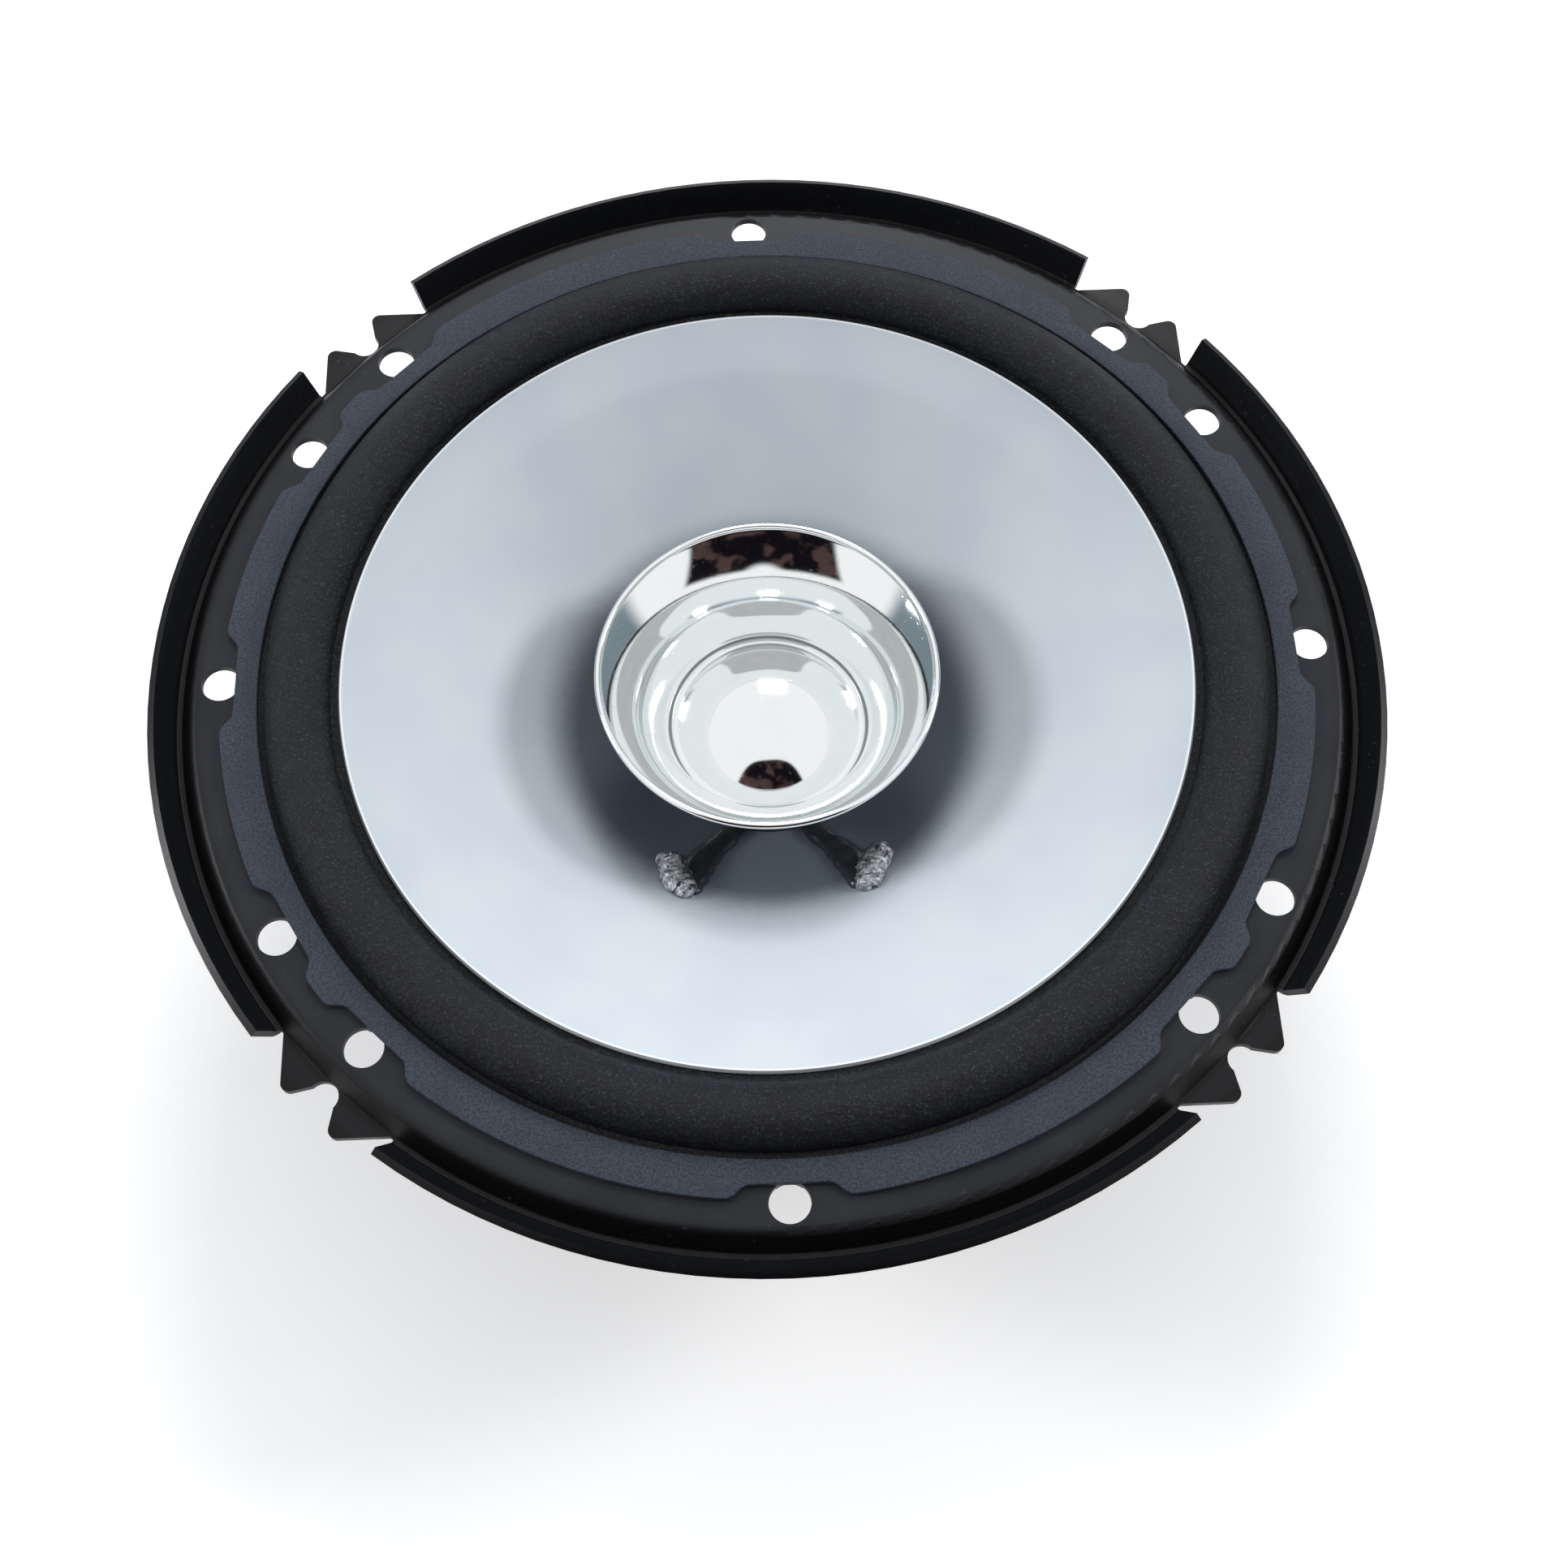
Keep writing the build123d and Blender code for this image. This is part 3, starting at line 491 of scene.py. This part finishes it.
def turned(profile, steps=STEPS):
    """Profile of (radius, height) turned about Z: x = r cos a, y = r sin a. It runs clockwise, so faces
    look out. A ring's profile wraps. One that starts and ends on the axis closes at two poles."""
    profile = np.asarray(profile, float)
    r, z = profile.T
    if np.sum(r * np.roll(z, -1) - np.roll(r, -1) * z) > 0:
        profile = profile[::-1]
    poles = profile[0, 0] < 1e-9
    rings = profile[1:-1] if poles else profile
    a = np.linspace(0, 2 * pi, steps, endpoint=False)
    points = np.stack([np.outer(rings[:, 0], np.cos(a)), np.outer(rings[:, 0], np.sin(a)),
                       np.repeat(rings[:, 1:], steps, 1)], -1).reshape(-1, 3)
    faces = [grid_faces(len(rings), steps, not poles, True)]
    if poles:
        points, faces = with_poles(points, faces, len(rings), steps,
                                   (0, 0, profile[0, 1]), (0, 0, profile[-1, 1]))
    return points, faces


def with_poles(points, faces, rows, columns, first, last):
    """The grid's first and last rows closed with a fan to one point each."""
    j = np.arange(columns)
    k = (j + 1) % columns
    count = len(points)
    start = np.stack([np.full(columns, count), j, k], -1)
    foot = (rows - 1) * columns
    end = np.stack([foot + j, np.full(columns, count + 1), foot + k], -1)
    return np.vstack([points, [first, last]]), [*faces, start, end]


def eased(corners, step=0.25, reach=0.8):
    """A line through corners, its points step apart, each the weighted mean of those within reach."""
    corners = np.asarray(corners, float)
    along = np.r_[0, np.cumsum(np.linalg.norm(np.diff(corners, axis=0), axis=1))]
    count = int(along[-1] / step) + 2
    t = np.linspace(0, along[-1], count)
    line = np.stack([np.interp(t, along, column) for column in corners.T], 1)
    half = max(1, round(reach / step))
    padded = np.vstack([2 * line[0] - line[half:0:-1], line, 2 * line[-1] - line[-2:-half - 2:-1]])
    weights = np.hanning(2 * half + 3)[1:-1]
    weights /= weights.sum()
    return np.stack([np.convolve(column, weights, "valid") for column in padded.T], 1)


def wall(line, thickness):
    """A ring's closed profile: its middle line pushed half the thickness to either side, there and back."""
    along = np.gradient(line, axis=0)
    along /= np.linalg.norm(along, axis=1)[:, None]
    across = np.stack([-along[:, 1], along[:, 0]], 1) * np.asarray(thickness).reshape(-1, 1) / 2
    return np.vstack([line + across, (line - across)[::-1]])


def arc(centre, radius, start, stop, count):
    """Points of a circle's arc, with its angles in degrees."""
    a = np.radians(np.linspace(start, stop, count))
    return np.stack([centre[0] + radius * np.cos(a), centre[1] + radius * np.sin(a)], 1)


def stretched(piece):
    """Bakes the piece's placement into its mesh and reads its points; nothing bends it between frame and
    cone."""
    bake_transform(piece)
    co = np.zeros(len(piece.data.vertices) * 3, np.float32)
    piece.data.vertices.foreach_get("co", co)


def loaf(line, up, width, height, around=28, under=0.3):
    """A rounded bar along a line: across it runs width cos a, and above it height sin a, flattened
    underneath. Width and height are given at each point, and both ends close to a point."""
    along = np.gradient(line, axis=0)
    along /= np.linalg.norm(along, axis=1)[:, None]
    side = np.cross(along, up)
    side /= np.linalg.norm(side, axis=1)[:, None]
    a = np.linspace(0, 2 * pi, around, endpoint=False)
    rise = np.where(np.sin(a) > 0, np.sin(a), under * np.sin(a))
    rows = line[1:-1, None] + side[1:-1, None] * (width[1:-1, None] * np.cos(a))[..., None]
    rows = rows + up[1:-1, None] * (height[1:-1, None] * rise)[..., None]
    points, faces = rows.reshape(-1, 3), [grid_faces(len(rows), around, False, True)]
    return with_poles(points, faces, len(rows), around, line[0], line[-1])


def box_of(node):
    """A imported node's lowest and highest corner, in millimetres."""
    low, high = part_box(node)
    return np.array(low) / MM, np.array(high) / MM


finishes = {
    "basket": basket_paint(),
    "gasket": gasket_foam(),
    "roll": roll_foam(),
    "cone": cone_paper(),
    "mirror": mirror_foil(),
    "glue": black_glue(),
    "solder": solder_metal(),
    "zinc": zinc_plate(),
    "ferrite": ferrite(),
    "board": fibre_board(),
    "brass": worn_metal("rivet_brass", (0.55, 0.38, 0.16), (0.83, 0.65, 0.34), 0.22),
    "tinned": worn_metal("tinned_brass", (0.5, 0.48, 0.45), (0.8, 0.79, 0.76), 0.2),
    "spider": spider_cloth(),
    "tinsel": tinsel_braid(),
    "foil": former_foil(),
    "copper": coil_copper(),
    "kraft": kraft_tape(),
}

# ---------------------------------------------------------------- cone

_, cone_high = box_of("cone")
CREASE = 48.55
CREASE_DEPTH = 2.4
CONE_SLOPE = 0.577               # depth gained for each millimetre inwards
PAPER = 0.6
SEAT_AIR = 0.12                  # beside glued faces
cone_rim = cone_high[0]


def cone_front(x, y, lift=0.0):
    """A point on the cone's front inside its crease, lifted along Z."""
    r = np.hypot(x, y)
    return np.stack([x, y, -CREASE_DEPTH - (CREASE - r) * CONE_SLOPE + lift], -1)


paper_drop = PAPER / 2 * sqrt(1 + CONE_SLOPE**2)
neck = box_of("voice_coil_former")[1][0] + SEAT_AIR
cone_line = eased([
    (cone_rim - SEAT_AIR, cone_high[2] - paper_drop),
    (CREASE, -CREASE_DEPTH - paper_drop),
    (neck + 0.4, -CREASE_DEPTH - (CREASE - neck - 0.4) * CONE_SLOPE - paper_drop),
], step=0.4, reach=1.2)
show("silver_cone", *turned(wall(cone_line, PAPER)), finishes["cone"], "cone_assembly",
     ["cone"], "cone_silver")

# ---------------------------------------------------------------- whizzer and dust cap

whizzer_low, whizzer_high = box_of("whizzer_cone")
cap_low, cap_high = box_of("dust_cap")
BEAD = 0.45                      # radius of the rolled edge
FOIL = 0.35
BOW = 1.7
FOOT_RADIUS = 13.7
rim = (whizzer_high[0] - BEAD, whizzer_high[2] - BEAD)
foot = (FOOT_RADIUS, cap_low[2] - FOIL / 2 - 0.05)


def bowed(start, end, bow, count):
    """A circle's arc from start to end whose middle stands bow to the left of the straight line."""
    start, end = np.array(start), np.array(end)
    length = hypot(*(end - start))
    radius = (length**2 / 4 + bow**2) / (2 * bow)
    a = np.linspace(-1, 1, count)[:, None] * asin(length / 2 / radius)
    along = (end - start) / length
    across = np.array([-along[1], along[0]])
    return (start + end) / 2 + across * (bow - radius + radius * np.cos(a)) + along * radius * np.sin(a)


flare = bowed(foot, rim, BOW, 60)
whizzer_line = np.vstack([
    [(neck + 0.18, whizzer_low[2]), (neck + 0.18, foot[1] - 0.4)],
    arc((neck + 0.38, foot[1] - 0.2), 0.2, 180, 90, 5)[1:],
    flare[1:],
])
whizzer_wall = wall(whizzer_line, FOIL)
half = len(whizzer_line)
lip = arc(rim, BEAD, 128, -60, 14)
whizzer_profile = np.vstack([whizzer_wall[:half - 1], lip, whizzer_wall[half + 1:]])
show("whizzer_bell", *turned(whizzer_profile, MIRROR_STEPS), finishes["mirror"], "cone_assembly",
     ["whizzer_cone"], "metallised", sharp=60)

CAP_RADIUS = 12.4
CAP_WALL = 0.3
cap_flange = cap_high[0]
cap_base = cap_low[2]
cap_rise = cap_high[2] - CAP_WALL - cap_base
ball = (CAP_RADIUS**2 + cap_rise**2) / (2 * cap_rise) + CAP_WALL
ball_centre = cap_high[2] - ball
foot_height = cap_base + CAP_WALL
foot_reach = sqrt(ball**2 - (foot_height + 0.05 - ball_centre) ** 2)
dome_r = np.linspace(0, foot_reach, 60)
dome = np.stack([dome_r, ball_centre + np.sqrt(ball**2 - dome_r**2)], 1)
valley = [(foot_reach + 0.12, foot_height - 0.02), (foot_reach + 0.3, foot_height + 0.02),
          (cap_flange - 0.1, foot_height), (cap_flange, foot_height - 0.08), (cap_flange, cap_base)]
under_r = np.linspace(CAP_RADIUS, 0, 40)
under = np.stack([under_r, ball_centre + np.sqrt((ball - CAP_WALL) ** 2 - under_r**2)], 1)
show("dust_cap_dome", *turned(np.vstack([dome, valley, under]), MIRROR_STEPS), finishes["mirror"],
     "cone_assembly", ["dust_cap"], "metallised", sharp=60)

# ---------------------------------------------------------------- surround

_, roll_high = box_of("surround")
FOAM = 0.5
ROLL = 4.2 - FOAM / 2            # radius of the foam's middle
ROLL_STEPS = 480
roll_middle = 60.9
roll_base = roll_high[2] - FOAM / 2 - ROLL
foot_end = roll_high[0]
lip_height = cone_high[2] - 2 * paper_drop - 0.1 - FOAM / 2
roll_line = eased(np.vstack([
    [(53.5, lip_height - 1.06), (55.7, lip_height), (roll_middle - ROLL, lip_height)],
    [(roll_middle - ROLL, roll_base)],
    arc((roll_middle, roll_base), ROLL, 180, 0, 60)[1:],
    [(roll_middle + ROLL, -FOAM / 2)],
    [(foot_end, -FOAM / 2)],
]), step=0.16, reach=0.35)
surround = show("foam_roll", *turned(wall(roll_line, FOAM), ROLL_STEPS), finishes["roll"], None,
                ["surround"], "surround_foam", sharp=70)
stretched(surround)

# ---------------------------------------------------------------- spider

spider_low, spider_high = box_of("spider")
CLOTH = 0.4
WAVES = 4
spider_middle = (spider_low[2] + spider_high[2]) / 2
wave_start, wave_end = 15.8, 28.6
wave_height = (spider_high[2] - spider_low[2] - CLOTH) / 2
wave_r = np.linspace(wave_start, wave_end, 160)
waves = np.stack([wave_r, spider_middle + wave_height
                  * np.sin((wave_r - wave_start) / (wave_end - wave_start) * WAVES * 2 * pi)], 1)
spider_line = np.vstack([[(neck + 0.03, spider_middle), (wave_start - 0.6, spider_middle)], waves,
                         [(wave_end + 0.6, spider_middle), (spider_high[0], spider_middle)]])
spider = show("corrugated_spider", *turned(wall(eased(spider_line, 0.12, 0.3), CLOTH)),
              finishes["spider"], None, ["spider"], "spider_cloth", sharp=70)
stretched(spider)

# ---------------------------------------------------------------- gasket

gasket_low, gasket_high = box_of("gasket")
SCREW_ANGLES = np.radians([0, 30, 45, 90, 135, 150, 180, 210, 225, 270, 315, 330])
GASKET_INNER, GASKET_OUTER = 66.0, 70.9
NOTCH_FLOOR, NOTCH_HALF = 68.95, 5.35
GASKET_EDGE = 0.18               # radius of its rounded edges


def gasket_outline(a):
    """Outer radius at each angle: the full ring, or at a screw the lesser of that and a notch, whose
    radius is floor / cos b on its flat floor and (floor - half) / (cos b - sin b) on its slanted sides."""
    b = np.abs((a[:, None] - SCREW_ANGLES + pi) % (2 * pi) - pi)
    near = b < radians(12)
    b = np.where(near, b, 0)
    floor = NOTCH_FLOOR / np.cos(b)
    sides = (NOTCH_FLOOR - NOTCH_HALF) / (np.cos(b) - np.sin(b))
    notch = np.where(near, np.maximum(floor, sides), 1e3)
    outline = np.minimum(GASKET_OUTER, notch.min(1))
    weights = np.hanning(9)[1:-1]
    weights /= weights.sum()
    padded = np.r_[outline[-3:], outline, outline[:3]]
    return np.convolve(padded, weights, "valid")


def cushioned_ring(inner, outline, bottom, top, edge, count=1440):
    """A flat ring with rounded edges: from the inner radius over the top to the outline and back."""
    a = np.linspace(0, 2 * pi, count, endpoint=False)
    outer = outline(a)
    turn = np.radians(np.linspace(90, 0, 5))
    rows = [(inner + edge * (1 - np.cos(t)), top - edge * (1 - np.sin(t))) for t in turn[::-1]]
    shape = [(np.full(count, r), z) for r, z in rows]
    shape += [(outer + (np.cos(t) - 1) * edge, top - edge * (1 - np.sin(t))) for t in turn]
    shape += [(outer, bottom), (np.full(count, inner), bottom)]
    points = np.stack([np.stack([r * np.cos(a), r * np.sin(a), np.full(count, z)], -1) for r, z in shape])
    return points.reshape(-1, 3), [grid_faces(len(shape), count, True, True)]


gasket_ring = cushioned_ring(GASKET_INNER, gasket_outline, gasket_low[2], gasket_high[2], GASKET_EDGE)
show("slate_gasket", *gasket_ring, finishes["gasket"], "frame", ["gasket"], "gasket_foam", sharp=50)

# ---------------------------------------------------------------- lead-outs

EYELET_CIRCLE, EYELET_ANGLE = 26.8, radians(29.2)
SOLDER_LENGTH, SOLDER_WIDTH, SOLDER_HEIGHT = 9.0, 4.4, 1.8
SOLDER_TURN = radians(47)
LUG = (5.0, -48.32, -12.4)       # where the right-hand lead leaves its lug
LEAD_RADIUS = 0.6
LEAD_SIDES = 16
tilt = 1 / sqrt(1 + CONE_SLOPE**2)


def lumps(u, seed, size):
    """A sum of five sines of u with fixed phases, for hand-made unevenness."""
    k = np.arange(1, 6)
    return size * np.sum(np.sin(2 * pi * (np.outer(u, k * 1.3) + np.sin(seed * k * 12.9) * 4)) / k**0.7, 1)


for side, hand in ((-1, "left"), (1, "right")):
    # solder, long across the eyelet
    around = -pi / 2 + side * EYELET_ANGLE
    outward = np.array([cos(around), sin(around), 0.0])
    up = np.array([-outward[0] * CONE_SLOPE, -outward[1] * CONE_SLOPE, 1.0]) * tilt
    centre = cone_front(outward[0] * EYELET_CIRCLE, outward[1] * EYELET_CIRCLE) + up * 0.25
    uphill = outward * tilt + np.array([0, 0, CONE_SLOPE * tilt])
    sideways = np.cross(up, uphill)
    long_way = uphill * cos(SOLDER_TURN) - sideways * side * sin(SOLDER_TURN)
    u = np.linspace(-1, 1, 61)
    swell = np.sqrt(np.clip(1 - np.abs(u) ** 2.6, 0, 1))
    line = centre + np.outer(u, long_way) * SOLDER_LENGTH / 2
    line = line + np.outer(lumps(u * 0.5, side * 1.7 + 3, 0.12), np.cross(up, long_way))
    width = swell * (SOLDER_WIDTH / 2 + lumps(u * 0.7, side + 5, 0.13))
    height = swell * (SOLDER_HEIGHT + lumps(u * 0.9, side + 9, 0.16))
    points, faces = loaf(line, np.tile(up, (61, 1)), width, height, around=44, under=0.1)
    offset = points - centre
    ripple = np.sin(offset @ long_way * 4.1 + side) * np.sin(offset @ np.cross(up, long_way) * 3.7 + 1.3)
    points = points + np.outer(0.11 * ripple * np.clip(offset @ up, 0, 1), up)
    show(f"solder_blob_{hand}", points, faces, finishes["solder"], "cone_assembly",
         ["solder_joints"] if side < 0 else [], "solder", sharp=80)

    # black cement over the coil's wire, from the whizzer's neck to the inner flank of the solder
    route = np.array([(4.6, -13.0), (6.4, -16.0), (8.7, -18.8), (10.3, -21.6), (10.9, -24.6), (10.6, -26.6)])
    flat = eased(route * (side, 1), step=0.22, reach=2.0)
    t = np.linspace(0, 1, len(flat))
    ends = np.sqrt(np.clip(1 - np.abs(2 * t - 1) ** 7, 0, 1))
    width = ends * (np.interp(t, [0, 0.3, 0.55, 0.8, 1], [1.5, 1.7, 2.1, 1.9, 1.4]) + lumps(t, side + 2, 0.1))
    height = ends * (np.interp(t, [0, 0.4, 0.7, 1], [1.5, 1.0, 1.3, 1.1]) + lumps(t, side + 7, 0.08))
    line = cone_front(flat[:, 0], flat[:, 1], 0.05)
    away = flat / np.linalg.norm(flat, axis=1)[:, None]
    ups = np.column_stack([-away * CONE_SLOPE * tilt, np.full(len(flat), tilt)])
    points, faces = loaf(line, ups, width, height, around=36, under=0.3)
    show(f"cement_track_{hand}", points, faces, finishes["glue"], "cone_assembly",
         ["lead_glue"] if side < 0 else [], "black_glue", sharp=80)

    # tinsel lead, slack between its lug and its eyelet
    back = cone_front(outward[0] * EYELET_CIRCLE, outward[1] * EYELET_CIRCLE) - up * 1.0
    lug = np.array([side * LUG[0], LUG[1], LUG[2]])
    route = [lug, lug + (side * 0.6, 2.8, 1.6), (side * 8.6, -39.5, -15.0), (side * 11.6, -33.0, -19.2),
             back - up * 3.2, back]
    line = eased(route, step=0.3, reach=2.4)
    forward = np.gradient(line, axis=0)
    forward /= np.linalg.norm(forward, axis=1)[:, None]
    upright = np.cross(np.cross(forward, [0.0, 0.0, 1.0]), forward)
    upright /= np.linalg.norm(upright, axis=1)[:, None]
    radius = np.full(len(line), LEAD_RADIUS)
    points, faces = loaf(line, upright, radius, radius, around=LEAD_SIDES, under=1.0)
    u = np.repeat(np.linspace(0, 1, len(line))[1:-1], LEAD_SIDES)
    v = np.tile(np.arange(LEAD_SIDES) / LEAD_SIDES, len(line) - 2)
    v = np.where(v > 0.5, 1 - v, v) * 2
    uv = np.vstack([np.column_stack([u, v]), [(0, 0), (1, 0)]])
    lead = show(f"tinsel_lead_{hand}", points, faces, finishes["tinsel"], None,
                ["lead_positive" if side > 0 else "lead_negative"], "tinsel", sharp=80, uv=uv)
    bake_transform(lead)

# ---------------------------------------------------------------- pieces kept from the frame

carried = {
    "basket": ("basket", "basket_black"),
    "top_plate": ("zinc", "plated_steel"),
    "back_plate": ("zinc", "plated_steel"),
    "pole_piece": ("zinc", "plated_steel"),
    "plate_stakes": ("zinc", "plated_steel"),
    "magnet": ("ferrite", "ferrite"),
    "terminal_board": ("board", "fibre_board"),
    "board_rivets": ("brass", "rivet_brass"),
    "eyelets": ("brass", "rivet_brass"),
    "terminal_positive": ("tinned", "tinned_brass"),
    "terminal_negative": ("tinned", "tinned_brass"),
    "neck_glue": ("glue", "black_glue"),
    "voice_coil_former": ("foil", "former_foil"),
    "voice_coil": ("copper", "coil_copper"),
    "coil_collar": ("kraft", "collar_paper"),
}
for node, (finish, slot) in carried.items():
    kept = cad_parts[node]
    kept.data.materials.clear()
    kept.data.materials.append(finishes[finish].material)

# ---------------------------------------------------------------- floor and light

floor_level = cad_box[0][2]
floor_mesh = bpy.data.meshes.new("floor")
FLOOR = 4.0                      # metres from its middle to each edge
floor_mesh.from_pydata([(-FLOOR, -FLOOR, floor_level), (FLOOR, -FLOOR, floor_level),
                        (FLOOR, FLOOR, floor_level), (-FLOOR, FLOOR, floor_level)], [], [(0, 1, 2, 3)])
floor = bpy.data.objects.new("floor", floor_mesh)
# the floor is clear from underneath, so that the back of the speaker shows from below
paint = Finish("pale_floor")
paint.varied(base_color=paint.mix(paint.noise(60.0), (0.93, 0.93, 0.93), (0.95, 0.95, 0.95)))
hidden = paint.node("ShaderNodeNewGeometry", output="Backfacing")
clear = paint.node("ShaderNodeBsdfTransparent")
solid = Wire(paint, paint.shader.outputs[0])
seen = paint.node("ShaderNodeMixShader", {}, {0: hidden, 1: solid, 2: clear})
paint.tree.links.new(seen.socket, paint.tree.nodes["Material Output"].inputs["Surface"])
paint.even(roughness=0.9, specular_ior_level=0.1, emission_color=(1, 1, 1, 1), emission_strength=0.3)
floor_mesh.materials.append(paint.material)
bpy.context.scene.collection.objects.link(floor)


def studio_sky():
    """A bright ceiling, cooler grey walls and a dark patch where the maker stands, for the mirrors."""
    world = bpy.data.worlds.new("studio")
    world.use_nodes = True
    bpy.context.scene.world = world
    tree = world.node_tree
    tree.nodes.clear()
    sky = Finish("studio", tree)
    toward = sky.node("ShaderNodeTexCoord", output="Generated")
    x, y, z = sky.parts(toward)
    side = x.math("ABSOLUTE", x)
    walls = sky.mix(side.between(0.45, 0.8), (0.4, 0.48, 0.53), (0.2, 0.25, 0.28))
    ceiling = z.between(0.36, 0.56).most((-1 * y).between(0.0, 0.2) * z.between(0.02, 0.1))
    colour = sky.mix(ceiling, walls, (0.98, 0.98, 0.98))
    spot = (x / (0.9 - 0.6 * z)) ** 4.0 + ((y + 0.6) / 0.36) ** 4.0
    clothes = sky.mix(sky.noise(0.22, place=toward).between(0.5, 0.62),
                      (0.006, 0.005, 0.007), (0.075, 0.045, 0.042))
    again = sky.node("ShaderNodeLightPath", output="Ray Depth").between(2.4, 2.6)
    maker = (1 - spot.between(0.8, 1.1)) * z.between(0.2, 0.26) * (1 - again * 0.55)
    colour = sky.mix(maker, colour, clothes)
    bounced = sky.node("ShaderNodeLightPath", output="Is Diffuse Ray")
    even_light = sky.mix(y.between(-0.8, 0.5), (0.2, 0.21, 0.235), (0.66, 0.67, 0.68))
    colour = sky.mix(bounced, colour, even_light)
    plain = sky.node("ShaderNodeLightPath", output="Is Camera Ray")
    colour = sky.mix(plain, colour, (1.0, 1.0, 1.0))
    shade = sky.node("ShaderNodeBackground", {}, {"Color": colour, "Strength": 1.0})
    out = tree.nodes.new("ShaderNodeOutputWorld")
    tree.links.new(shade.socket, out.inputs["Surface"])


studio_sky()


def softbox(name, place, size, watts, aim=(0, 0, -0.01)):
    """A square lamp that faces a point of the speaker."""
    data = bpy.data.lights.new(name, "AREA")
    data.size = size
    data.energy = watts
    lamp = bpy.data.objects.new(name, data)
    lamp.location = place
    lamp.rotation_mode = "QUATERNION"
    lamp.rotation_quaternion = (Vector(aim) - Vector(place)).to_track_quat("-Z", "Y")
    bpy.context.scene.collection.objects.link(lamp)


for name, place, size, watts in (
    ("lamp_back", (0.1, 1.1, 0.9), 0.4, 7.0),
    ("lamp_left", (-1.15, 0.15, 0.62), 0.3, 6.5),
    ("lamp_right", (1.15, 0.25, 0.68), 0.3, 7.0),
):
    softbox(name, place, size, watts)
bpy.context.scene.view_settings.view_transform = "Standard"
